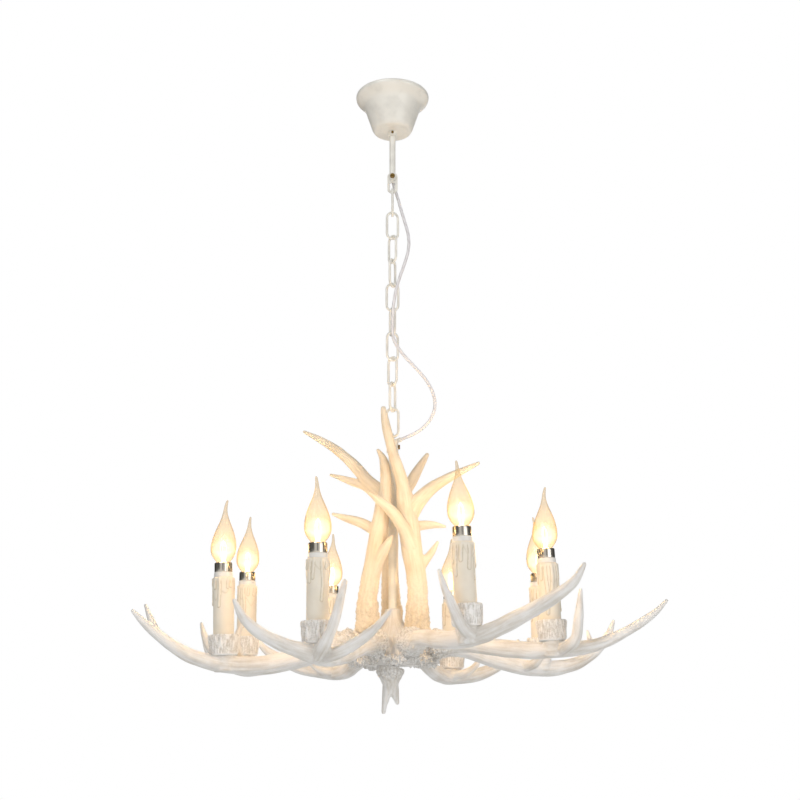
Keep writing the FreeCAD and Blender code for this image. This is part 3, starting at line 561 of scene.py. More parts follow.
def carry(mesh: bpy.types.Mesh, name: str, values: np.ndarray) -> None:
    """Keep a number or a vector for each corner of a mesh.

    Args:
        mesh: The mesh.
        name: What the materials call it.
        values: One value or one triple for each corner.
    """
    vector = values.ndim == 2
    kept = mesh.attributes.new(name, "FLOAT_VECTOR" if vector else "FLOAT", "POINT")
    kept.data.foreach_set("vector" if vector else "value", values.astype(np.float32).ravel())


def rows_of(items: bpy.types.bpy_prop_collection, name: str) -> np.ndarray:
    """A vector property of a mesh's items, as rows."""
    flat = np.empty(3 * len(items), np.float32)
    items.foreach_get(name, flat)
    return flat.reshape(-1, 3).astype(float)


def set_corners(mesh: bpy.types.Mesh, points: np.ndarray) -> None:
    """Move a mesh's corners."""
    mesh.vertices.foreach_set("co", points.astype(np.float32).ravel())
    mesh.update()


def rise(values: np.ndarray, start: float, width: float) -> np.ndarray:
    """0 before the start, then up to 1 over a width. A width below zero goes down instead."""
    return np.clip((values - start) / width, 0.0, 1.0)


def bell(values: np.ndarray, middle: float, width: float) -> np.ndarray:
    """1 at the middle, and falling away over a width on either side."""
    return np.exp(-(((values - middle) / width) ** 2))


def noise_at(points: np.ndarray, scale: float, seed: float = 0.0) -> np.ndarray:
    """Smooth noise between about -1 and 1 at each point, at a scale per metre."""
    return np.array([noise.noise(Vector(point)) for point in points * scale + seed])


def lumps_at(points: np.ndarray, scale: float) -> np.ndarray:
    """Rounded lumps, 1 on top and 0 between, at a scale per metre."""
    return np.array([max(0.0, 1.0 - 1.3 * noise.voronoi(Vector(point))[0][0]) for point in points * scale])


def flowing(rows: np.ndarray, spacing: float) -> np.ndarray:
    """Points on a smooth curve through rows of (x, y, z, radius).

    Args:
        rows: The rows that the curve passes through.
        spacing: Distance between the points, in metres.

    Returns:
        The points, with their radii.
    """
    steps = np.linalg.norm(np.diff(rows[:, :3], axis=0), axis=1)
    place = np.concatenate([[0.0], np.cumsum(steps)])
    slope = np.gradient(rows, place, axis=0)
    wanted = np.linspace(0.0, place[-1], max(4, round(place[-1] / spacing)) + 1)
    cell = np.clip(np.searchsorted(place, wanted, side="right") - 1, 0, len(place) - 2)
    width = (place[cell + 1] - place[cell])[:, None]
    t = (wanted - place[cell])[:, None] / width
    start, end = rows[cell], rows[cell + 1]
    lead = (t**3 - 2 * t**2 + t) * width * slope[cell] + (t**3 - t**2) * width * slope[cell + 1]
    return (2 * t**3 - 3 * t**2 + 1) * start + (3 * t**2 - 2 * t**3) * end + lead


def frames_along(line: np.ndarray) -> tuple[np.ndarray, np.ndarray, np.ndarray]:
    """Direction, side and third axis at each point of a line, turned as little as possible."""
    along = np.gradient(line, axis=0)
    along /= np.linalg.norm(along, axis=1)[:, None]
    start = UP if abs(along[0][2]) < 0.8 else np.array([1.0, 0.0, 0.0])
    side = np.cross(along[0], start)
    sides = []
    for direction in along:
        side = side - direction * np.dot(side, direction)
        side = side / np.linalg.norm(side)
        sides.append(side)
    sides = np.array(sides)
    return along, sides, np.cross(along, sides)


def turns(count: int) -> np.ndarray:
    """Angles of the corners of a ring, in radians."""
    return np.arange(count) * 2 * math.pi / count


def rings(side: np.ndarray, third: np.ndarray, count: int) -> np.ndarray:
    """Unit vectors round each point of a line, from two of its axes."""
    turn = turns(count)
    return np.cos(turn)[None, :, None] * side[:, None, :] + np.sin(turn)[None, :, None] * third[:, None, :]


def tube(line: np.ndarray, sides: int, round_end: bool = True) -> tuple[np.ndarray, list]:
    """Closed tube round a line of (x, y, z, radius).

    Args:
        line: Its centre line and radii.
        sides: Corners of each ring.
        round_end: Whether the last end is rounded.

    Returns:
        Corners and faces.
    """
    if round_end:
        along = line[-1, :3] - line[-2, :3]
        along /= np.linalg.norm(along)
        radius = line[-1, 3]
        tip, bows = line[-1, :3], [math.radians(degrees) for degrees in (30, 55, 75)]
        caps = [[*(tip + along * radius * math.sin(bow)), radius * math.cos(bow)] for bow in bows]
        line = np.vstack([line, caps])
    _, side, third = frames_along(line[:, :3])
    corners = (line[:, None, :3] + line[:, None, 3:4] * rings(side, third, sides)).reshape(-1, 3)
    return corners, grid_faces(len(line), sides) + end_faces(len(line), sides)


def grid_faces(count: int, sides: int, looped: bool = False) -> list:
    """Faces between rings of corners, and from the last ring to the first if looped."""
    faces = []
    for ring in range(count if looped else count - 1):
        low, high = ring * sides, (ring + 1) % count * sides
        for corner in range(sides):
            after = (corner + 1) % sides
            faces.append((low + corner, low + after, high + after, high + corner))
    return faces


def end_faces(count: int, sides: int) -> list:
    """Flat faces that close the first and the last ring."""
    return [tuple(range(sides - 1, -1, -1)), tuple(range((count - 1) * sides, count * sides))]


def merged(parts: list) -> tuple[np.ndarray, list]:
    """Several meshes' corners and faces as one."""
    corners, faces, count = [], [], 0
    for points, sides in parts:
        corners.append(points)
        faces += [tuple(count + corner for corner in face) for face in sides]
        count += len(points)
    return np.vstack(corners), faces


def skinned(name: str, parts: list, voxel: float, rounds: int) -> bpy.types.Mesh:
    """One smooth skin round overlapping closed meshes.

    Args:
        name: The mesh's name.
        parts: Corners and faces of each closed mesh.
        voxel: Size of the skin's faces, in metres.
        rounds: How often the skin is smoothed.

    Returns:
        The skin.
    """
    rough = linked("rough", made_mesh("rough", *merged(parts)))
    remesh = rough.modifiers.new("skin", "REMESH")
    remesh.mode = "VOXEL"
    remesh.voxel_size = voxel
    ease = rough.modifiers.new("ease", "SMOOTH")
    ease.factor = 0.5
    ease.iterations = rounds
    mesh = bpy.data.meshes.new_from_object(rough.evaluated_get(bpy.context.evaluated_depsgraph_get()))
    mesh.name = name
    old = rough.data
    bpy.data.objects.remove(rough)
    bpy.data.meshes.remove(old)
    return smoothed(mesh)


def lathed(outline: np.ndarray, sides: int) -> tuple[np.ndarray, list]:
    """Surface of revolution about Z of (radius, height) rows, open at both ends."""
    turn = turns(sides)
    x = outline[:, 0, None] * np.cos(turn)[None, :]
    y = outline[:, 0, None] * np.sin(turn)[None, :]
    z = np.repeat(outline[:, 1, None], sides, axis=1)
    return np.stack([x, y, z], axis=2).reshape(-1, 3), grid_faces(len(outline), sides)


def rounded(outline: list, spacing: float) -> np.ndarray:
    """Smooth outline through (radius, height) rows given in millimetres, in metres."""
    rows = np.array([(radius, 0.0, height, 0.0) for radius, height in outline]) * MM
    return flowing(rows, spacing)[:, [0, 2]]


def above_tip(rows: tuple) -> np.ndarray:
    """Rows of x, y, height above the finial's tip and radius in millimetres, as places in metres."""
    return np.array([(x, y, TIP_Z / MM + height, radius) for x, y, height, radius in rows]) * MM


def azimuth_of(number: int) -> float:
    """Azimuth of an arm, numbered from 1, in degrees."""
    return FIRST_AZIMUTH + (number - 1) * 360 / LIGHTS


def heading(degrees: float) -> np.ndarray:
    """Level direction at an azimuth."""
    angle = math.radians(degrees)
    return np.array([math.cos(angle), math.sin(angle), 0.0])


def polar(radius: float, degrees: float, height: float) -> np.ndarray:
    """Point at a radius, azimuth and height above the finial's tip, from millimetres to metres."""
    angle = math.radians(degrees)
    return np.array([radius * MM * math.cos(angle), radius * MM * math.sin(angle), TIP_Z + height * MM])


# ---------------------------------------------------------------- antlers
# Rows of x, y, height above the finial's tip and radius, in millimetres.
UPRIGHT_TINES = {
    1: [  # front right, the tallest, its beam crossing to the left above
        [
            (36, -21, HUB_TOP, 17), (37, -21, 150, 15), (36, -22, 190, 14.5), (29, -24, 235, 15.5),
            (22, -25, 285, 15), (15, -27, 334, 10.5), (8, -32, 358, 8.5), (0, -34, 382, 7.5),
            (-11, -34, 430, 6), (-14, -34, 450, 3.8),
        ],
        [
            (24, -24, 284, 13), (39, -25, 308, 12), (56, -27, 325, 9.8), (74, -29, 337, 8),
            (99, -30, 350, 6), (130, -31, 365, 2.6),
        ],
        [(35, -22, 200, 8), (50, -24, 221, 6.5), (60, -25, 234, 4.8), (67, -26, 246, 2.3)],
        [(26, -22, 268, 8), (46, -16, 273, 6.8), (64, -12, 274, 5.2), (79, -9, 272, 2.4)],
        [
            (28, -30, 238, 11), (13, -42, 270, 9.5), (-7, -50, 294, 8), (-23, -51, 307, 6),
            (-34, -50, 316, 3),
        ],
    ],
    2: [  # front left
        [
            (-36, -21, HUB_TOP, 16), (-38, -21, 150, 14), (-34, -23, 183, 13.5), (-27, -25, 220, 14),
            (-20, -26, 265, 13.5), (-14, -25, 303, 11.5), (-10, -23, 335, 9), (-11, -20, 358, 7.8),
            (-15, -18, 376, 6), (-22, -17, 388, 3),
        ],
        [(-31, -26, 190, 8.5), (-18, -36, 222, 8), (-8, -42, 240, 6), (-1, -43, 252, 3)],
        [(-24, -22, 263, 8.5), (-45, -14, 276, 7.6), (-67, -8, 284, 5.8), (-90, -4, 292, 2.6)],
    ],
    3: [  # rear, forking wide to the left and the right
        [
            (0, 42, HUB_TOP, 16), (-2, 42, 160, 14), (-4, 41, 210, 13), (-4, 39, 260, 13),
            (-10, 37, 310, 13), (-23, 36, 336, 11.5), (-38, 36, 351, 10.3), (-72, 37, 388, 8),
            (-109, 38, 415, 5.8), (-140, 38, 431, 2.6),
        ],
        [
            (-25, 38, 328, 8), (-45, 42, 345, 7.2), (-63, 46, 352, 6), (-80, 48, 358, 4.6),
            (-98, 50, 364, 2.2),
        ],
        [(-4, 39, 290, 11), (15, 42, 328, 9.5), (31, 44, 354, 8.5), (43, 46, 376, 7), (55, 48, 396, 3.5)],
    ],
}

ROOT = (SOCKET_REACH, 0, SOCKET_HEIGHT, 13)  # where each arm leaves the hub

# Rows of radius from the axis, swing in degrees from the arm's azimuth, height and thickness radius.
ARM_TINES = {
    1: [  # front right
        [
            ROOT, (110, 0, 101, 12), (170, 0, 96, 12), (225, 1, 94, 12.5),
            (263, 3.7, 98, 11.5), (292, 7.9, 112, 10.5), (319, 11.4, 127, 9.3), (345, 13.3, 141, 8),
            (369, 15.2, 160, 6), (380, 16, 178, 3.2),
        ],
        [
            (250, 2, 97, 9.5), (275, -4.8, 111, 7.6), (277, -6.7, 129, 6.6), (274, -8.4, 150, 5.2),
            (268, -9.8, 175, 2.6),
        ],
    ],
    2: [  # right, towards the front
        [
            ROOT, (125, 0, 96, 12), (160, 0, 91, 12), (211, 0, 86, 12),
            (240, 0, 86, 11.5), (268, 0.5, 87, 10.3), (297, 1.5, 91, 8.8), (331, 2.2, 104, 7.5),
            (362, 2.8, 121, 6), (385, 3.1, 137, 4.4), (398, 3.2, 150, 2.6),
        ],
        [(258, -1, 87, 9), (280, -4.6, 99, 8), (286, -5, 125, 6.8), (290, -4.4, 165, 2.6)],
        [(225, 1, 86, 8), (236, 9, 86, 6.5), (240, 14, 95, 5), (238, 17, 108, 2.5)],
    ],
    3: [  # right, towards the back
        [
            ROOT, (118, 0, 93, 12), (171, 0, 79, 12), (225, 0, 69, 12),
            (259, 0, 68, 12), (318, -0.7, 80, 9.5), (350, -1.2, 101, 8), (366, -1.8, 120, 6),
            (376, -2.3, 143, 2.8),
        ],
        [(335, -0.5, 90, 7.5), (350, 2, 102, 6), (353, 3.4, 116, 4.4), (352, 4, 129, 2.4)],
        [(215, 0, 70, 8), (225, -7, 75, 7), (232, -9.5, 86, 5), (236, -10, 97, 3.5)],
    ],
    4: [  # rear right
        [
            ROOT, (110, 0, 88, 12), (160, 0, 70, 12), (205, 0, 61, 12),
            (249, -1.5, 59, 12), (280, -9, 65, 10.5), (302, -14, 80, 8.5), (318, -16.5, 99, 6),
            (328, -18, 120, 2.8),
        ],
        [(255, 1, 60, 9.5), (300, 4, 68, 8.5), (340, 6, 88, 6.5), (362, 7, 117, 2.8)],
        [(235, -2, 61, 8), (232, -9, 66, 6.5), (236, -13, 78, 5), (240, -14, 93, 3)],
    ],
    5: [  # rear left
        [
            ROOT, (110, 0, 88, 12), (160, 0, 75, 12), (205, 0, 67, 12),
            (249, 1.5, 67, 12), (288, 9, 74, 10.5), (315, 15, 91, 8.5), (332, 18.5, 108, 6),
            (342, 20.5, 128, 2.8),
        ],
        [(255, -1, 68, 9.5), (300, -4, 75, 8.5), (342, -6, 95, 6.5), (364, -7, 123, 2.8)],
        [(235, 2, 68, 8), (234, 8, 71, 6.5), (238, 12, 83, 5), (242, 13.5, 100, 3)],
    ],
    6: [  # left, towards the back
        [
            ROOT, (110, 0, 89, 12), (160, 0, 78, 12), (210, 0, 70, 12),
            (255, 0, 69, 12), (288, 1, 82, 10), (306, 1.8, 102, 7.5), (316, 2.2, 121, 5),
            (321, 2.4, 138, 2.6),
        ],
        [(270, -1, 73, 9), (305, -4, 81, 8), (338, -6, 99, 6), (355, -7, 123, 2.6)],
        [(220, 1, 70, 8), (228, 8, 73, 6.5), (232, 12, 84, 5), (234, 13, 100, 2.8)],
    ],
    7: [  # left, towards the front
        [
            ROOT, (110, 0, 89, 12), (150, 0, 77, 12), (195, 0, 67, 12),
            (240, 0, 65.5, 12), (275, 0.5, 70, 11), (303, 1, 78, 9.8), (330, 2, 91, 8.5),
            (354, 2.6, 107, 7), (372, 3, 121, 5), (385, 3.2, 133, 2.8),
        ],
        [(318, 1, 85, 8), (339, -2, 102, 6.5), (350, -5, 124, 5), (359, -7, 147, 2.5)],
        [
            (210, -1, 67, 8), (224, -7, 75, 7), (229, -9.5, 95, 6), (226, -10, 114, 4.5),
            (220, -9, 133, 2.4),
        ],
    ],
    8: [  # front left
        [
            ROOT, (110, 0, 90, 12), (170, 0, 76, 12), (225, 0, 71, 12.5),
            (262, -1.5, 75, 11.5), (296, -4.8, 83, 9), (318, -6, 90, 8.2), (340, -7, 99.5, 7.2),
            (360, -8, 116, 5.5), (370, -8.5, 132, 3),
        ],
        [
            (255, 1, 72, 9.5), (277, 5.2, 87, 8.2), (276, 7, 108, 7), (270, 8.3, 136, 6),
            (262, 9.2, 162, 3.6),
        ],
        [(245, 1, 71, 9.5), (262, 7, 73, 8.5), (266, 12, 83, 7.6), (263, 17, 100, 6), (258, 22, 126, 3)],
    ],
}


@dataclass(frozen=True)
class Seat:
    """Where a candle stands, and how it leans."""

    place: np.ndarray
    turn: np.ndarray

    def world(self, points: np.ndarray) -> np.ndarray:
        """Points of the upright candle, put where it stands."""
        return self.place + points @ self.turn.T

    def local(self, points: np.ndarray) -> np.ndarray:
        """Points seen from the candle, its foot at zero."""
        return (points - self.place) @ self.turn


# Candle on each arm: how far beyond the ring, swing in degrees from the arm's azimuth, seat height,
# lean in degrees, azimuth that it leans to, and azimuth that its flame's tip bends to.
CANDLES = (
    (0, 0, 108, 2.2, 180, 110),
    (-8, 0, 98.5, 2.1, 180, 20),
    (1, 0, 86, 0, 0, 200),
    (0, -0.9, 73, 0.6, 90, 60),
    (6.5, 2.9, 82, 2.5, 0, 110),
    (-2, 0, 88, 0.6, 180, 70),
    (3.5, 0, 78, 2.6, 180, 0),
    (0, 0, 86.5, 0.8, 170, 118),
)


def candle_seats() -> list[Seat]:
    """Seat of each candle, in the order of the arms."""
    seats = []
    for number, (beyond, swing, height, lean, towards, _) in enumerate(CANDLES, 1):
        azimuth = azimuth_of(number) + swing
        axis = Vector((-math.sin(math.radians(towards)), math.cos(math.radians(towards)), 0.0))
        turn = np.array(Matrix.Rotation(math.radians(lean), 3, axis))
        seats.append(Seat(polar(CANDLE_RING + beyond, azimuth, height), turn))
    return seats


@dataclass
class Antler:
    """One antler with its side tines, cast in one piece."""

    node: str
    tines: list[np.ndarray]
    voxel: float = 0.0015
    smoothing: int = 5
    spacing: float = 0.003
    sides: int = 28
    groove_depth: float = 0.00045
    swell: float = 0.0008
    lump: float = 0.0012
    lump_scale: float = 190.0
    seed: float = 7.0
    # Share of the burr mask in the material: painted shade in the pits, and their bump and gloss.
    burr_shade_and_relief: float = 1.0
    finish: CastResin = RESIN
    lines: list[np.ndarray] = field(default_factory=list)

    def build(self) -> bpy.types.Mesh:
        """Skin the tines and carve the surface.

        Returns:
            The finished mesh, which carries its grain and burr.
        """
        self.lines = [flowing(rows, self.spacing) for rows in self.tines]
        parts = [tube(line, self.sides) for line in self.lines]
        parts += [tube(rows, self.sides, False) for rows in self.fittings()]
        mesh = skinned(self.node, parts, self.voxel, self.smoothing)
        points = rows_of(mesh.vertices, "co")
        grain, out, thick = self.grain_of(points)
        burr = self.burr_of(points)
        grooves = noise_at(grain, 260.0) * self.groove_depth * (1.0 - burr)
        waves = noise_at(points, 38.0, self.seed) * self.swell
        lift = (grooves + waves) * np.clip(thick / 0.008, 0.3, 1.0)
        rough = np.flatnonzero(burr > 0.02)
        lift[rough] += self.lump * burr[rough] * lumps_at(points[rough], self.lump_scale)
        points = self.trimmed(points + out * lift[:, None])
        set_corners(mesh, points)
        carry(mesh, "grain", grain)
        carry(mesh, "burr", burr * self.burr_shade_and_relief)
        return mesh

    def fittings(self) -> list[np.ndarray]:
        """Rows (place and radius) of what is cast on besides the tines."""
        return []

    def grain_of(self, points: np.ndarray) -> tuple[np.ndarray, np.ndarray, np.ndarray]:
        """Places drawn out along each tine, for streaks that follow it.

        Args:
            points: Corners of the skin.

        Returns:
            Drawn-out place, outward direction and tine radius at each corner.
        """
        best = np.full(len(points), np.inf)
        grain, out, thick = np.zeros_like(points), np.zeros_like(points), np.zeros(len(points))
        for number, line in enumerate(self.lines):
            centre = line[:, :3]
            _, side, third = frames_along(centre)
            apart = np.linalg.norm(points[:, None, :] - centre[None, :, :], axis=2)
            nearest = apart.argmin(axis=1)
            depth = apart[np.arange(len(points)), nearest] - line[nearest, 3]
            ours = depth < best
            best[ours] = depth[ours]
            away = points[ours] - centre[nearest[ours]]
            across = np.einsum("ij,ij->i", away, side[nearest[ours]])
            over = np.einsum("ij,ij->i", away, third[nearest[ours]])
            grain[ours] = np.stack([across, over, nearest[ours] * self.spacing * 0.1 + 0.1 * number], axis=1)
            flat = across[:, None] * side[nearest[ours]] + over[:, None] * third[nearest[ours]]
            out[ours] = flat / np.maximum(np.linalg.norm(flat, axis=1), 1e-6)[:, None]
            thick[ours] = line[nearest[ours], 3]
        return grain, out, thick

    def burr_of(self, points: np.ndarray) -> np.ndarray:
        """How burred each corner is, from 0 to 1."""
        return np.zeros(len(points))

    def trimmed(self, points: np.ndarray) -> np.ndarray:
        """Corners moved clear of what the antler carries."""
        return points

    def dress(self, mesh: bpy.types.Mesh) -> bpy.types.Object:
        """Show the antler in place of its plain solid."""
        shown = piece(f"{self.node}_antler", mesh, self.finish)
        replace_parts(shown, self.node)
        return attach(shown, HUNG)


@dataclass
class Upright(Antler):
    """Antler that stands on the hub, pimpled at its foot."""

    voxel: float = 0.0013
    lump: float = 0.0030
    burr_shade_and_relief: float = 0.3
    # The uprights' warmer resin paints the bulbs' light into their colour.
    finish: CastResin = BULB_LIT_RESIN
    burr_low: float = 138.0
    burr_high: float = 215.0
    # height above the foot and how far the coronet stands out there, in millimetres
    coronet: tuple = ((-6, 1.2), (0, 1.6), (8, 0.8), (17, -0.4), (28, -1.2), (38, -2.0))

    def fittings(self) -> list[np.ndarray]:
        """Coronet round the foot."""
        x, y, z, thick = self.tines[0][0]
        return [np.array([(x, y, z + rise * MM, thick + beyond * MM) for rise, beyond in self.coronet])]

    def burr_of(self, points: np.ndarray) -> np.ndarray:
        """Burr that fades out above the foot."""
        height = (points[:, 2] - TIP_Z) / MM
        return np.clip((self.burr_high - height) / (self.burr_high - self.burr_low), 0.0, 1.0)


@dataclass
class Arm(Antler):
    """Lower antler, burred at its root, with a seat for a candle."""

    lump: float = 0.0032
    lump_scale: float = 165.0
    burr_shade_and_relief: float = 0.8
    azimuth: float = 0.0
    seat: Seat | None = None
    cup_room: float = 0.0232
    seat_radius: float = 0.0160
    burr_reach: float = 0.034
    # distance beyond the socket's end and radius of the coronet there, in millimetres
    coronet: tuple = ((-2, 16.0), (1, 19.5), (5, 21.5), (9, 20.5), (15, 18.0), (25, 15.0), (38, 12.4))

    def fittings(self) -> list[np.ndarray]:
        """Candle's seat, and the coronet at the root."""
        inner, outer = self.seat.world(np.array([[0.0, 0.0, -0.022], [0.0, 0.0, 0.0]]))
        pedestal = np.array([[*inner, self.seat_radius - 0.003], [*outer, self.seat_radius]])
        root = self.tines[0][0, :3]
        along = (polar(SOCKET_REACH + 1, self.azimuth, 0) - polar(SOCKET_REACH, self.azimuth, 0)) / MM
        coronet = np.array([[*(root + along * step * MM), radius * MM] for step, radius in self.coronet])
        return [pedestal, coronet]

    def burr_of(self, points: np.ndarray) -> np.ndarray:
        """Burr at the root, fading out along the beam."""
        reach = np.hypot(points[:, 0], points[:, 1]) - SOCKET_REACH * MM
        return np.clip(1.0 - (reach - 0.010) / self.burr_reach, 0.0, 1.0)

    def trimmed(self, points: np.ndarray) -> np.ndarray:
        """Corners kept below the cup's floor or outside its wall."""
        local = self.seat.local(points)
        spread = np.linalg.norm(local[:, :2], axis=1)
        inside = (spread < self.cup_room) & (local[:, 2] > 0.0) & (local[:, 2] < 0.029)
        down = inside & (local[:, 2] < self.cup_room - spread)
        local[down, 2] = -0.0001
        aside = inside & ~down
        local[aside, :2] *= (self.cup_room / np.maximum(spread[aside], 1e-6))[:, None]
        return self.seat.world(local)


@dataclass
class Crown:
    """All antlers round the hub."""

    def build(self) -> None:
        """Build the standing antlers and the arms."""
        for number, tines in UPRIGHT_TINES.items():
            antler = Upright(f"upright_{number}", [above_tip(tine) for tine in tines])
            antler.dress(antler.build())
            log.info("upright %d built", number)
        for (number, tines), seat in zip(ARM_TINES.items(), candle_seats()):
            azimuth = azimuth_of(number)
            rows = [self.swung(tine, azimuth) for tine in tines]
            arm = Arm(f"arm_{number}", rows, seed=azimuth, azimuth=azimuth, seat=seat)
            arm.dress(arm.build())
            log.info("arm %d built", number)

    @staticmethod
    def swung(tine: list, azimuth: float) -> np.ndarray:
        """An arm's tine in metres, turned to the arm's azimuth."""
        places = [polar(reach, azimuth + swing, height) for reach, swing, height, _ in tine]
        return np.column_stack([places, [row[3] * MM for row in tine]])


# ---------------------------------------------------------------- hub and finial
@dataclass
class Hub:
    """Burr-edged hub: grooved skirt, round sockets and a ragged rim."""

    skirt: tuple = (
        (0.1, 150), (11, 150), (12.5, 141), (16, 132), (22, 124), (31, 116), (41, 107), (49, 96),
        (59, 86), (65.5, 80), (66.5, 76), (62, 73), (50, 74), (41, 74), (0.1, 74),
    )
    flutes: int = 46
    flute_depth: float = 0.0009
    socket: tuple = ((30, 12.0), (44, 16.5), (54, 18.5), (62, 18.5), (64, 16.5))  # reach, radius
    sides: int = 96
    rim_lumps: float = 0.0066
    fringe: float = 0.0080
    # Share of the burr mask in the material: painted shade in the pits, and their bump and gloss.
    burr_shade_and_relief: float = 0.60
    voxel: float = 0.0012

    def build(self) -> bpy.types.Mesh:
        """Skin the skirt and sockets and roughen them.

        Returns:
            The mesh, which carries its grain and burr.
        """
        outline = rounded(list(self.skirt), 0.004)
        outline[:, 0] = np.maximum(outline[:, 0], 0.0001)
        outline[:, 1] += TIP_Z
        corners, faces = lathed(outline, self.sides)
        parts = [(corners, faces + end_faces(len(outline), self.sides))]
        for number in range(1, LIGHTS + 1):
            azimuth = azimuth_of(number)
            rows = [[*polar(reach, azimuth, SOCKET_HEIGHT), radius * MM] for reach, radius in self.socket]
            parts.append(tube(np.array(rows), 32, False))
        mesh = skinned("hub", parts, self.voxel, 4)
        points, out = rows_of(mesh.vertices, "co"), rows_of(mesh.vertex_normals, "vector")
        height = (points[:, 2] - TIP_Z) / MM
        reach = np.hypot(points[:, 0], points[:, 1]) / MM
        turn = np.arctan2(points[:, 1], points[:, 0])
        from_arm = (np.degrees(turn) - FIRST_AZIMUTH + 180 / LIGHTS) % (360 / LIGHTS) - 180 / LIGHTS
        off_socket = np.hypot(reach * np.radians(from_arm), height - SOCKET_HEIGHT)
        rim = rise(height, 86, -6) * rise(reach, 46, 8)
        boss = rise(off_socket, 20, -5) * rise(reach, 52, 5)
        burr = np.clip(np.maximum(rim, boss), 0, 1)
        skirt = (1 - burr) * rise(height, 76, 8) * rise(reach, 9, 10)
        wander = noise_at(points, 30.0) * 1.5
        grooves = np.cos(self.flutes * turn + wander) * self.flute_depth * skirt
        lift = grooves + noise_at(points, 90.0) * 0.0005
        rough = np.flatnonzero(burr > 0.02)
        lift[rough] += burr[rough] * self.rim_lumps * (lumps_at(points[rough], 165.0) - 0.3)
        moved = points + out * lift[:, None]
        fringe = np.flatnonzero((height < 80) & (reach > 44))
        hang = rise(reach[fringe], 44, 8) * rise(height[fringe], 80, -4)
        rag = lumps_at(points[fringe], 110.0) + 0.6 * noise_at(points[fringe], 45.0)
        moved[fringe, 2] -= hang * self.fringe * rag
        set_corners(mesh, moved)
        carry(mesh, "grain", np.stack([turn * 0.05, reach * MM * 0.1, height * MM * 0.1], axis=1))
        carry(mesh, "burr", burr * self.burr_shade_and_relief)
        return mesh

    def dress(self, mesh: bpy.types.Mesh) -> bpy.types.Object:
        """Show the hub in place of its plain solid."""
        shown = piece("hub_casting", mesh, RESIN)
        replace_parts(shown, "hub")
        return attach(shown, HUNG)


@dataclass
class Finial:
    """Burr below the hub that ends in two prongs."""

    burr: tuple = (
        (-2, 0, 68, 18), (-3, 0, 63, 20.5), (-3, 0, 56, 19),
        (-3, 0, 48, 14.5), (-3, 0, 38, 10), (-3, 0, 33, 8),
    )
    long_prong: tuple = ((-5, 0, 46, 9), (-8, -0.6, 30, 7), (-11, -1.4, 15, 4.5), (-13, -2, 3.2, 3))
    short_prong: tuple = ((-1, 0, 46, 9), (3, 1.2, 30, 6.5), (7, 3, 16.5, 3.2))
    lump: float = 0.0016
    # Share of the burr mask in the material: painted shade in the pits, and their bump and gloss.
    burr_shade_and_relief: float = 0.45

    def build(self) -> bpy.types.Mesh:
        """Skin the burr and prongs.

        Returns:
            The mesh, which carries its grain and burr.
        """
        lines = [flowing(above_tip(rows), 0.002) for rows in (self.burr, self.long_prong, self.short_prong)]
        mesh = skinned("finial", [tube(line, 28) for line in lines], 0.0009, 4)
        points, out = rows_of(mesh.vertices, "co"), rows_of(mesh.vertex_normals, "vector")
        height = (points[:, 2] - TIP_Z) / MM
        burr = rise(height, 42, 14) * rise(height, 69, -2)
        stretched = points * np.array([1.0, 1.0, 0.15])
        lift = noise_at(stretched, 330.0) * 0.0006 * rise(height, 68, -4)
        lift += burr * self.lump * (lumps_at(points, 170.0) - 0.3)
        moved = points + out * lift[:, None]
        moved[:, 2] = np.clip(moved[:, 2], TIP_Z, TIP_Z + 0.0682)
        set_corners(mesh, moved)
        carry(mesh, "grain", stretched)
        carry(mesh, "burr", burr * self.burr_shade_and_relief)
        return mesh

    def dress(self, mesh: bpy.types.Mesh) -> bpy.types.Object:
        """Show the finial in place of its plain solid."""
        shown = piece("finial_casting", mesh, RESIN)
        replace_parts(shown, "finial")
        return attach(shown, HUNG)


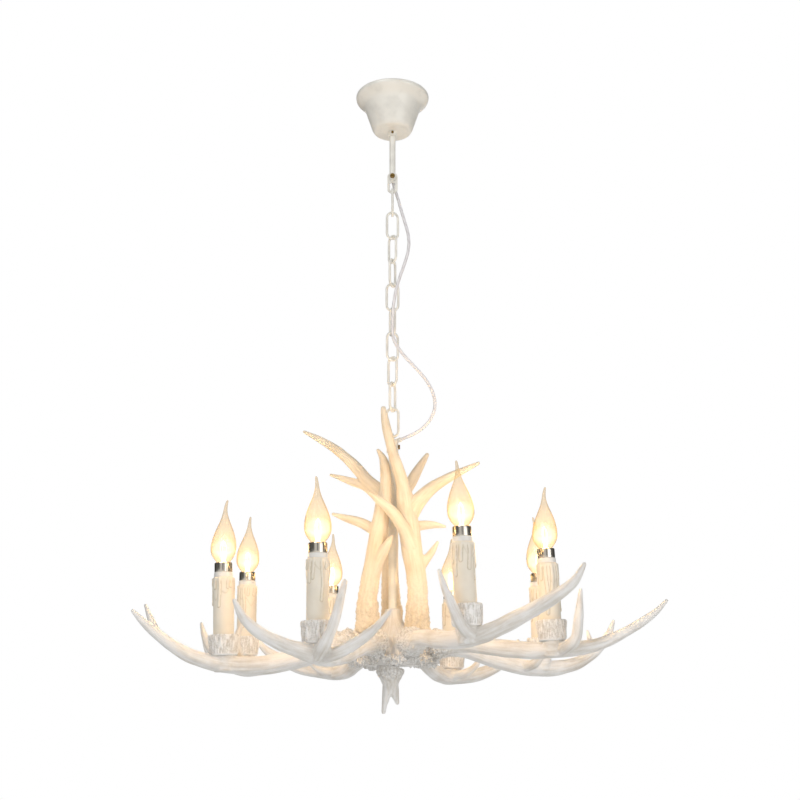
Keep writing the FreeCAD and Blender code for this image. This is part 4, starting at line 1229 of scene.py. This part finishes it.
# ---------------------------------------------------------------- candles
@dataclass
class Candle:
    """Bark cup, dripped sleeve and lit flame bulb on one seat."""

    number: int
    seat: Seat
    lean: float  # azimuth that the flame's tip bends to, in degrees
    sides: int = 150
    cup_floor: float = 5.0
    sleeve_radius: float = 14.5
    sleeve_inner: float = 13.6
    sleeve_top: float = 108.0
    collar_top: float = 128.3
    drip_count: int = 11
    glass_sides: int = 56
    flame_height: float = 90.0

    def chance(self) -> np.random.Generator:
        """Random draws of this candle alone."""
        return np.random.default_rng(900 + self.number)

    def build_cup(self) -> bpy.types.Mesh:
        """Cup with furrowed bark and an uneven lip.

        Returns:
            The mesh, which carries the depth of its furrows, for painted shade.
        """
        outline = [(5.2, 0.2), (12, 0.0), (18.0, 0.3), (19.6, 2.0), (20.6, 8), (21.4, 16), (21.9, 22)]
        outline += [(22.0, 26), (21.2, 28.0), (19.5, 28.4), (16.9, 27.8), (16.1, 26), (16.1, 5.2)]
        outline.append((5.2, 5.0))
        rows = rounded(outline, 0.0011)
        points, faces = lathed(rows, self.sides)
        turn = np.arctan2(points[:, 1], points[:, 0])
        reach = np.hypot(points[:, 0], points[:, 1])
        wrapped = np.stack([np.cos(turn) * 2.2, np.sin(turn) * 2.2, points[:, 2] * 22.0], axis=1)
        ridges = noise_at(wrapped, 2.6, 3.1 * self.number)
        cracks = noise_at(wrapped, 7.5, 1.7 * self.number)
        outside = rise(reach, 0.0164, 0.0018) * np.clip(points[:, 2] / 0.003, 0.0, 1.0)
        depth = np.clip(0.5 - 0.9 * np.abs(ridges) - 0.35 * cracks, -0.4, 0.6)
        lift = -depth * 0.0021 * outside
        points[:, :2] *= (1 + lift / np.maximum(reach, 0.001))[:, None]
        points[:, 2] += ridges * 0.0007 * rise(points[:, 2], 0.023, 0.004) * outside
        mesh = made_mesh(f"cup_{self.number}", self.seat.world(points), faces)
        carry(mesh, "furrow", np.clip(depth + 0.35, 0.0, 1.0) * outside)
        return mesh

    def build_sleeve(self) -> bpy.types.Mesh:
        """Sleeve with a wax shoulder and drips down it.

        Returns:
            The mesh, which carries the edges of its drips and its wax coat, where shade is painted.
        """
        top, inner, outer = self.sleeve_top, self.sleeve_inner, self.sleeve_radius
        outline = [(outer, height) for height in np.linspace(self.cup_floor + 0.2, top - 3.0, 110)]
        bows = np.radians(np.linspace(0, 90, 8))[1:]
        outline += [(outer - 2.2 * (1 - math.cos(b)), top - 3.0 + 3.0 * math.sin(b)) for b in bows]
        outline += [(inner, top - 0.2), (inner, top - 12)]
        points, faces = lathed(np.array(outline) * MM, self.sides)
        height = points[:, 2] / MM
        turn = np.arctan2(points[:, 1], points[:, 0])
        reach = np.hypot(points[:, 0], points[:, 1])
        chance = self.chance()
        coat = top - 20 - 9 * np.sin(2 * turn + 1.7 * self.number) - 5 * np.sin(5 * turn + self.number)
        wax = rise(height, coat, 2.5) * 0.8
        # Edges of the wax coat and of each drip, kept for painted shade along them.
        edge = bell(height, coat, 0.9) * 0.5
        for start in np.linspace(0, 2 * math.pi, self.drip_count, endpoint=False):
            middle = start + chance.uniform(-0.22, 0.22)
            length = chance.choice([18, 28, 38, 50, 64]) * chance.uniform(0.8, 1.15)
            half = chance.uniform(1.7, 2.6)
            foot = top - length
            sway = 0.06 * np.sin((height - foot) / 9.0 + start)
            aside = np.abs((turn - middle - sway + math.pi) % (2 * math.pi) - math.pi) * outer
            below = np.maximum(foot + half - height, 0.0)
            apart = np.hypot(aside, below) / half
            edge = np.maximum(edge, bell(apart, 1.0, 0.28))
            edge = np.where(apart < 0.8, 0.0, edge)
            bulb = 1.0 + 0.35 * bell(height - foot, half, 4.0)
            wax = np.maximum(wax, wax * 0.7 + 1.15 * bulb * np.sqrt(np.clip(1.0 - apart**2, 0.0, 1.0)))
        shown = rise(reach / MM, 13.9, 0.4) * rise(height, top - 0.4, -1.5)
        wax *= shown * rise(height, 33, 3)
        points[:, :2] *= (1 + wax * MM / reach)[:, None]
        edge *= shown * rise(height, top - 4, -3)
        mesh = made_mesh(f"sleeve_{self.number}", self.seat.world(points), faces)
        carry(mesh, "drip", edge)
        return mesh

    def build_collar(self) -> bpy.types.Mesh:
        """Chrome collar with rolled edges over the lamp's cap."""
        outline = [(6.9, -35.7), (6.9, -14.0), (11.9, -14.0), (12.35, -13.8), (12.5, -13.3), (12.5, -1.7)]
        outline += [(12.4, -0.9), (12.0, -0.3), (11.2, 0.0), (9.6, -0.1), (8.8, -0.9), (0.4, -1.0)]
        points, faces = lathed((np.array(outline) + (0.0, self.collar_top)) * MM, 72)
        mesh = made_mesh(f"collar_{self.number}", self.seat.world(points), faces)
        mesh.set_sharp_from_angle(angle=math.radians(50))
        return mesh

    def build_glass(self) -> bpy.types.Mesh:
        """Bent-tip flame glass.

        Returns:
            The mesh, which carries the filament's glow.
        """
        # height above the collar, radius, sideways lean of the flame
        rows = [(-0.6, 9.0, 0), (1, 9.6, 0), (6, 13.4, 0), (13, 17.0, 0), (22, 17.9, 0.3), (31, 16.9, 0.9)]
        rows += [(42, 13.9, 1.6), (52, 10.0, 2.2), (62, 5.9, 2.6), (72, 3.2, 3.0), (81, 2.2, 4.2)]
        rows.append((88, 1.6, 6.0))
        foot, sides = self.collar_top, self.glass_sides
        places = np.array([(lean, 0.0, height + foot, radius) for height, radius, lean in rows]) * MM
        line = flowing(places, 0.0016)
        aside = heading(self.lean)
        turn = turns(sides)
        ring = np.stack([np.cos(turn), np.sin(turn), np.zeros(sides)], axis=1)
        centres = line[:, :1] * aside + line[:, 2:3] * UP
        corners = (centres[:, None] + line[:, 3, None, None] * ring).reshape(-1, 3)
        tip = aside * 0.0066 + UP * (foot + self.flame_height) * MM
        last = len(corners) - sides
        faces = grid_faces(len(line), sides)
        faces += [(last + step, last + (step + 1) % sides, len(corners)) for step in range(sides)]
        points = np.vstack([corners, tip])
        mesh = made_mesh(f"flame_{self.number}", self.seat.world(points), faces)
        above = points[:, 2] / MM - foot
        carry(mesh, "glow", bell(above, 18, 12))
        carry(mesh, "height", np.clip(above / self.flame_height, 0.0, 1.0))
        return mesh

    def build_filament(self) -> bpy.types.Mesh:
        """Glass stem's hot wire: four upright loops round the middle."""
        parts = []
        for loop in range(4):
            angle = loop * math.pi / 2 + 0.4
            x, y = math.cos(angle), math.sin(angle)
            bow = ((130, 2.0), (136, 3.0), (144, 4.2), (152, 4.0), (158, 1.6), (160, 0.0))
            rows = [(x * spread, y * spread, height, 0.42) for height, spread in bow]
            parts.append(tube(flowing(np.array(rows) * MM, 0.0012), 8))
        corners, faces = merged(parts)
        return made_mesh(f"filament_{self.number}", self.seat.world(corners), faces)

    def dress(self) -> None:
        """Show the candle's pieces and put them on their bodies."""
        lamp = f"bulb_{self.number}"
        cup = piece(f"candle_cup_{self.number}", self.build_cup(), BARK)
        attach(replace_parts(cup, "candle_cups"), HUNG)
        sleeve = piece(f"candle_sleeve_{self.number}", self.build_sleeve(), WAX)
        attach(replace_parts(sleeve, "candle_sleeves"), HUNG)
        collar = piece(f"lamp_collar_{self.number}", self.build_collar(), CHROME)
        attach(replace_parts(collar, f"bulb_base_{self.number}"), lamp)
        glass = piece(f"flame_glass_{self.number}", self.build_glass(), GLASS)
        glass.visible_shadow = False  # its own light passes
        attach(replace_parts(glass, f"bulb_glass_{self.number}"), lamp)
        wire = piece(f"filament_{self.number}", self.build_filament(), FILAMENT)
        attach(wire, lamp)
        log.info("candle %d built", self.number)


# ---------------------------------------------------------------- ceiling end, chain and cord
@dataclass
class Canopy:
    """Spun cup at the ceiling with a rolled lip."""

    outline: tuple = (
        (5.4, -66), (20, -66), (28.2, -66), (30.2, -65.2), (33, -61.5), (36.5, -52), (41.5, -37),
        (46, -23.6), (48, -19), (51, -15.2), (55.5, -11), (58.5, -8.2), (60.6, -5.4), (61, -3.2),
        (61, -1), (60.4, -0.1), (59.4, -0.2), (59.2, -3), (56, -8), (49, -14.5), (45, -20), (44, -24),
        (39.8, -37), (34.8, -52), (31.4, -60.5), (28, -64.4), (5.4, -64.5),
    )
    sides: int = 128

    def build(self) -> bpy.types.Mesh:
        """Lathe the cup."""
        points, _ = lathed(rounded(list(self.outline), 0.0012), self.sides)
        mesh = made_mesh("canopy", points, grid_faces(len(points) // self.sides, self.sides, True))
        mesh.set_sharp_from_angle(angle=math.radians(55))
        return mesh

    def dress(self, mesh: bpy.types.Mesh) -> None:
        """Show the cup in place of its plain solid."""
        shown = piece("canopy_shell", mesh, CREAM)
        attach(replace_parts(shown, "canopy_cup"), "canopy")


@dataclass
class Chain:
    """Ten welded oval links, each round wire."""

    wire: float = 4.0
    length: float = 49.9
    width: float = 22.5
    first: float = -194.65
    pitch: float = 41.6
    yaws: tuple = (90, 15, -52, 62, 0, -66, 24, -46, 64, -8)
    sides: int = 20

    def build_link(self, number: int) -> bpy.types.Mesh:
        """One link with a slight bead where it is welded.

        Args:
            number: Place in the chain, from 1 at the top.

        Returns:
            The link's mesh.
        """
        bend = (self.width - self.wire) / 2
        straight = (self.length - self.wire) / 2 - bend
        half = [(bend, straight * (step / 6 - 1)) for step in range(12)]
        arcs = [math.pi * step / 24 for step in range(24)]
        half += [(bend * math.cos(arc), straight + bend * math.sin(arc)) for arc in arcs]
        path = np.vstack([half, -np.array(half)])
        ahead = np.roll(path, -1, axis=0) - np.roll(path, 1, axis=0)
        ahead /= np.linalg.norm(ahead, axis=1)[:, None]
        yaw = self.yaws[number - 1]
        flat, cross = heading(yaw), heading(yaw + 90)
        middle = self.first - (number - 1) * self.pitch
        centres = path[:, :1] * flat + (path[:, 1:] + middle) * UP
        out = ahead[:, 1:] * flat - ahead[:, :1] * UP
        bead = np.where(path[:, 0] < 0, 0.16 * bell(path[:, 1], 0.0, 2.2), 0.0)
        radius = self.wire / 2 - 0.02 + bead
        ring = rings(out, np.tile(cross, (len(path), 1)), self.sides)
        corners = (centres[:, None] + radius[:, None, None] * ring).reshape(-1, 3)
        return made_mesh(f"link_{number:02d}", corners * MM, grid_faces(len(path), self.sides, True))

    def dress(self) -> None:
        """Show each link in place of its solid."""
        for number in range(1, len(self.yaws) + 1):
            shown = piece(f"wire_link_{number:02d}", self.build_link(number), CREAM)
            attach(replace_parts(shown, f"chain_link_{number:02d}"), f"link_{number:02d}")


# Millimetres, from the port behind the hanger tube to the inlet on the eye's collar.
CORD_ROUTE = (
    (0.0, 8.5, -138.0), (0.0, 8.5, -150.0), (3.0, 9.4, -164.0), (8.5, 8.5, -181.0), (13.5, 5.5, -203.0),
    (20.0, 0.5, -229.0), (26.0, -6.0, -254.0), (27.0, -12.0, -280.0), (20.5, -16.0, -307.0),
    (11.0, -18.5, -335.0), (4.0, -20.0, -363.0), (0.5, -20.5, -391.0), (0.0, -20.0, -417.0),
    (0.5, -20.0, -439.0), (13.0, -19.5, -460.0), (32.0, -18.5, -481.0), (51.0, -17.0, -502.0),
    (64.0, -14.0, -525.0), (67.0, -10.0, -547.0), (59.0, -6.0, -567.0), (44.0, -3.0, -581.5),
    (29.7, 0.0, -589.1), (13.0, 0.0, -595.9),
)


@dataclass
class PowerCord:
    """Slack cord beside the chain, in one stretch for each joint that it passes."""

    diameter: float = 5.0 * MM
    sides: int = 16
    twist_pitch: float = 0.034  # one turn of the conductors inside
    first_stretch: float = -0.1695  # height where the first stretch ends, in metres
    second_stretch: float = -0.2030

    def centre_line(self) -> np.ndarray:
        """Points along the cord's smooth line."""
        curve = bpy.data.curves.new("cord_route", "CURVE")
        curve.dimensions = "3D"
        spline = curve.splines.new("NURBS")
        spline.points.add(len(CORD_ROUTE) - 1)
        for point, place in zip(spline.points, CORD_ROUTE):
            point.co = (*(MM * part for part in place), 1.0)
        spline.order_u = 3
        spline.use_endpoint_u = True
        spline.resolution_u = 12
        route = linked("cord_route", curve)
        read = bpy.data.meshes.new_from_object(route.evaluated_get(bpy.context.evaluated_depsgraph_get()))
        line = rows_of(read.vertices, "co")
        bpy.data.objects.remove(route)
        bpy.data.meshes.remove(read)
        return line

    def joints(self) -> list[tuple[str, str, float]]:
        """Upper body, lower body and height of each joint down the chain."""
        rows = frame["record"]["behaviour"]["joints"]
        swings = [row for row in rows if row["name"].endswith("_swing")]
        return [(row["parent"], row["child"], row["pos_m"][2]) for row in swings]

    def build(self) -> None:
        """Build each stretch as a tube."""
        line = self.centre_line()
        joints = self.joints()
        heights = [joint[2] for joint in joints]
        cuts = [self.first_stretch, self.second_stretch]
        cuts += [(above + below) / 2 for above, below in zip(heights[2:], heights[3:])]
        ends = [0] + [int(np.argmax(line[:, 2] <= cut)) for cut in cuts] + [len(line) - 1]
        _, side, third = frames_along(line)
        travelled = np.concatenate([[0.0], np.cumsum(np.linalg.norm(np.diff(line, axis=0), axis=1))])
        turn = turns(self.sides)
        for number, (upper, lower, _) in enumerate(joints):
            start, end = ends[number], ends[number + 1] + 1
            path = line[start:end]
            ring = rings(side[start:end], third[start:end], self.sides)
            corners = (path[:, None, :] + ring * self.diameter / 2).reshape(-1, 3)
            mesh = made_mesh(f"cord_{number + 1:02d}", corners, grid_faces(len(path), self.sides))
            phase = travelled[start:end, None] / self.twist_pitch * 2 * math.pi + turn[None, :]
            carry(mesh, "twist", (0.5 + 0.5 * np.sin(phase)).ravel())
            shown = piece(f"power_cord_{number + 1:02d}", mesh, SHEATH)
            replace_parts(shown, "power_cord")
            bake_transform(shown)
        log.info("cord built, %.0f mm", travelled[-1] / MM)


@dataclass
class Hardware:
    """Turned and stamped pieces whose solids are shown as they are."""

    steel: tuple = ("ceiling_strap", "tube_nuts", "hub_nut", "arm_bolts", "holder_nipples")
    cream: tuple = ("hanger_tube", "canopy_collar", "hanger_lug", "top_eye", "centre_rod")
    brass: tuple = ("canopy_set_screw", "lug_screw", "eye_screw")
    plastic: tuple = ("terminal_block", "lampholders")
    resin: tuple = ("hub_plate",)

    def dress(self) -> None:
        """Give each solid its finish and soft edges."""
        finishes = (STEEL, CREAM, BRASS, PLASTIC, RESIN)
        for finish, names in zip(finishes, (self.steel, self.cream, self.brass, self.plastic, self.resin)):
            for name in names:
                shown = frame["nodes"][name]
                shown.data.materials.clear()
                shown.data.materials.append(finish.material())
                smoothed(shown.data).set_sharp_from_angle(angle=math.radians(35))
        log.info("hardware dressed")


# ---------------------------------------------------------------- studio
@dataclass
class Studio:
    """Camera at the photograph's angle, pale floor and soft light."""

    camera_back: float = 1.670
    camera_height: float = -1.005
    pitch: float = 15.8  # degrees up
    lens: float = 49.95
    sensor: float = 36.0
    shift: float = 0.0094
    floor_z: float = -2.6
    floor_reach: float = 14.0
    sky_level: float = 0.46  # light of the surroundings, as a share of the white that the camera sees
    flag_bands: tuple = (  # brightness from left to right
        (0.0, 0.3), (0.14, 0.25), (0.24, 1.6), (0.43, 1.6), (0.48, 0.3),
        (0.53, 0.3), (0.58, 1.6), (0.8, 1.6), (0.9, 0.3),
    )
    soft_lights: tuple = (  # name, place, watts, size
        ("key", (-1.2, -2.0, 0.7), 15.0, 1.2),
        ("fill", (1.7, -1.9, -0.9), 14.0, 1.6),
        ("low", (-0.1, -1.7, -2.2), 8.0, 1.4),
        ("back", (0.3, 2.2, 0.3), 5.0, 1.6),
    )
    target: tuple = (0.0, 0.0, -0.75)
    warm: tuple = (1.0, 0.63, 0.27)
    bulb_power: float = 0.46  # watts of each lit bulb
    bulb_height: float = 0.150  # metres above the candle's seat
    inner_power: float = 0.30  # watts of each soft warm light between them
    inner_place: tuple = (0.14, -0.20, -0.70)

    def build_camera(self) -> None:
        """Place the camera in front, looking up at the chandelier."""
        data = bpy.data.cameras.new("camera")
        data.lens = self.lens
        data.sensor_width = self.sensor
        data.shift_x = self.shift
        camera = linked("camera", data)
        camera.location = (0.0, -self.camera_back, self.camera_height)
        camera.rotation_euler = (math.radians(90 + self.pitch), 0.0, 0.0)
        bpy.context.scene.camera = camera

    def build_floor(self) -> None:
        """Pale floor that melts into the white surroundings."""
        far, z = self.floor_reach, self.floor_z
        corners = np.array([(-far, -far, z), (far, -far, z), (far, far, z), (-far, far, z)])
        mesh = made_mesh("floor", corners, [(0, 1, 2, 3)])
        paint = Painter("pale_floor")
        grain = paint.cloud(paint.place(), 60.0)
        paint.paint(Base_Color=paint.blend((0.80, 0.80, 0.79), (0.84, 0.84, 0.83), grain), Roughness=0.9)
        indirect = paint.ray("Glossy") + paint.ray("Transmission")
        seen = paint.combined("MAXIMUM", paint.ray("Camera"), indirect)
        white = paint.node("ShaderNodeEmission", {}, {"Color": (1.0, 1.0, 1.0), "Strength": 1.0})
        lit = Signal(paint, paint.shader.outputs[0])
        mixed = paint.node("ShaderNodeMixShader", {}, {0: seen, 1: lit, 2: white})
        paint.feed(paint.tree.nodes["Material Output"].inputs["Surface"], mixed)
        mesh.materials.append(paint.material)
        floor = linked("floor", mesh)

    def build_world(self) -> None:
        """White to look at, and a dimmer soft light on the object."""
        world = bpy.data.worlds.new("studio")
        world.use_nodes = True
        bpy.context.scene.world = world
        sky = Wiring(world.node_tree)
        seen = sky.combined("MAXIMUM", sky.ray("Camera"), sky.ray("Transmission"))
        level = sky.node("ShaderNodeMapRange", {}, {"Value": seen, "To Min": self.sky_level})
        background = sky.tree.nodes["Background"]
        sky.feed(background.inputs["Strength"], level)
        sky.feed(background.inputs["Color"], self.flags(sky))

    def flags(self, sky: Wiring) -> Signal:
        """White, but with dark upright flags for polished metal to mirror."""
        direction = sky.node("ShaderNodeTexCoord", {}, {}, "Generated")
        x, y = (sky.node("ShaderNodeSeparateXYZ", {}, {0: direction}, axis) for axis in "XY")
        bands = sky.ramp(sky.span(x, -1.0, 1.0), *self.flag_bands)
        reach = {"Value": y, "From Min": -0.1, "From Max": 0.7, "To Min": 1.0, "To Max": 0.2}
        behind = sky.node("ShaderNodeMapRange", {}, reach)
        return sky.blend((1.0, 1.0, 1.0), bands * behind, sky.ray("Glossy"))

    @staticmethod
    def light(kind: str, name: str, place: tuple, power: float, **settings: object) -> bpy.types.Object:
        """Add a light, with further settings of its data."""
        data = bpy.data.lights.new(name, kind)
        data.energy = power
        for key, value in settings.items():
            setattr(data, key, value)
        lamp = linked(name, data)
        lamp.location = place
        return lamp

    def build_lights(self) -> None:
        """Soft key and fill from the front, and the warm light of each bulb."""
        for name, place, power, size in self.soft_lights:
            lamp = self.light("AREA", name, place, power, size=size)
            lamp.rotation_euler = (Vector(self.target) - Vector(place)).to_track_quat("-Z", "Y").to_euler()
        for number, seat in enumerate(candle_seats(), 1):
            place = seat.world(np.array([0.0, 0.0, self.bulb_height]))
            look = {"color": self.warm, "shadow_soft_size": 0.012}
            self.light("POINT", f"bulb_light_{number}", place, self.bulb_power, **look)
        x, y, z = self.inner_place
        for number, side in enumerate((-x, x)):
            look = {"color": self.warm, "shadow_soft_size": 0.05}
            glow = self.light("POINT", f"inner_glow_{number}", (side, y, z), self.inner_power, **look)
            glow.visible_camera = False


def main() -> None:
    """Build the chandelier and its studio."""
    logging.basicConfig(level=logging.INFO, format="%(name)s: %(message)s")
    bpy.context.scene.view_settings.view_transform = "Standard"
    studio = Studio()
    studio.build_camera()
    PowerCord().build()
    Crown().build()
    hub = Hub()
    hub.dress(hub.build())
    finial = Finial()
    finial.dress(finial.build())
    for number, (seat, row) in enumerate(zip(candle_seats(), CANDLES), 1):
        Candle(number, seat, lean=row[-1]).dress()
    canopy = Canopy()
    canopy.dress(canopy.build())
    Chain().dress()
    Hardware().dress()
    studio.build_floor()
    studio.build_world()
    studio.build_lights()


if __name__ == "__main__":
    main()
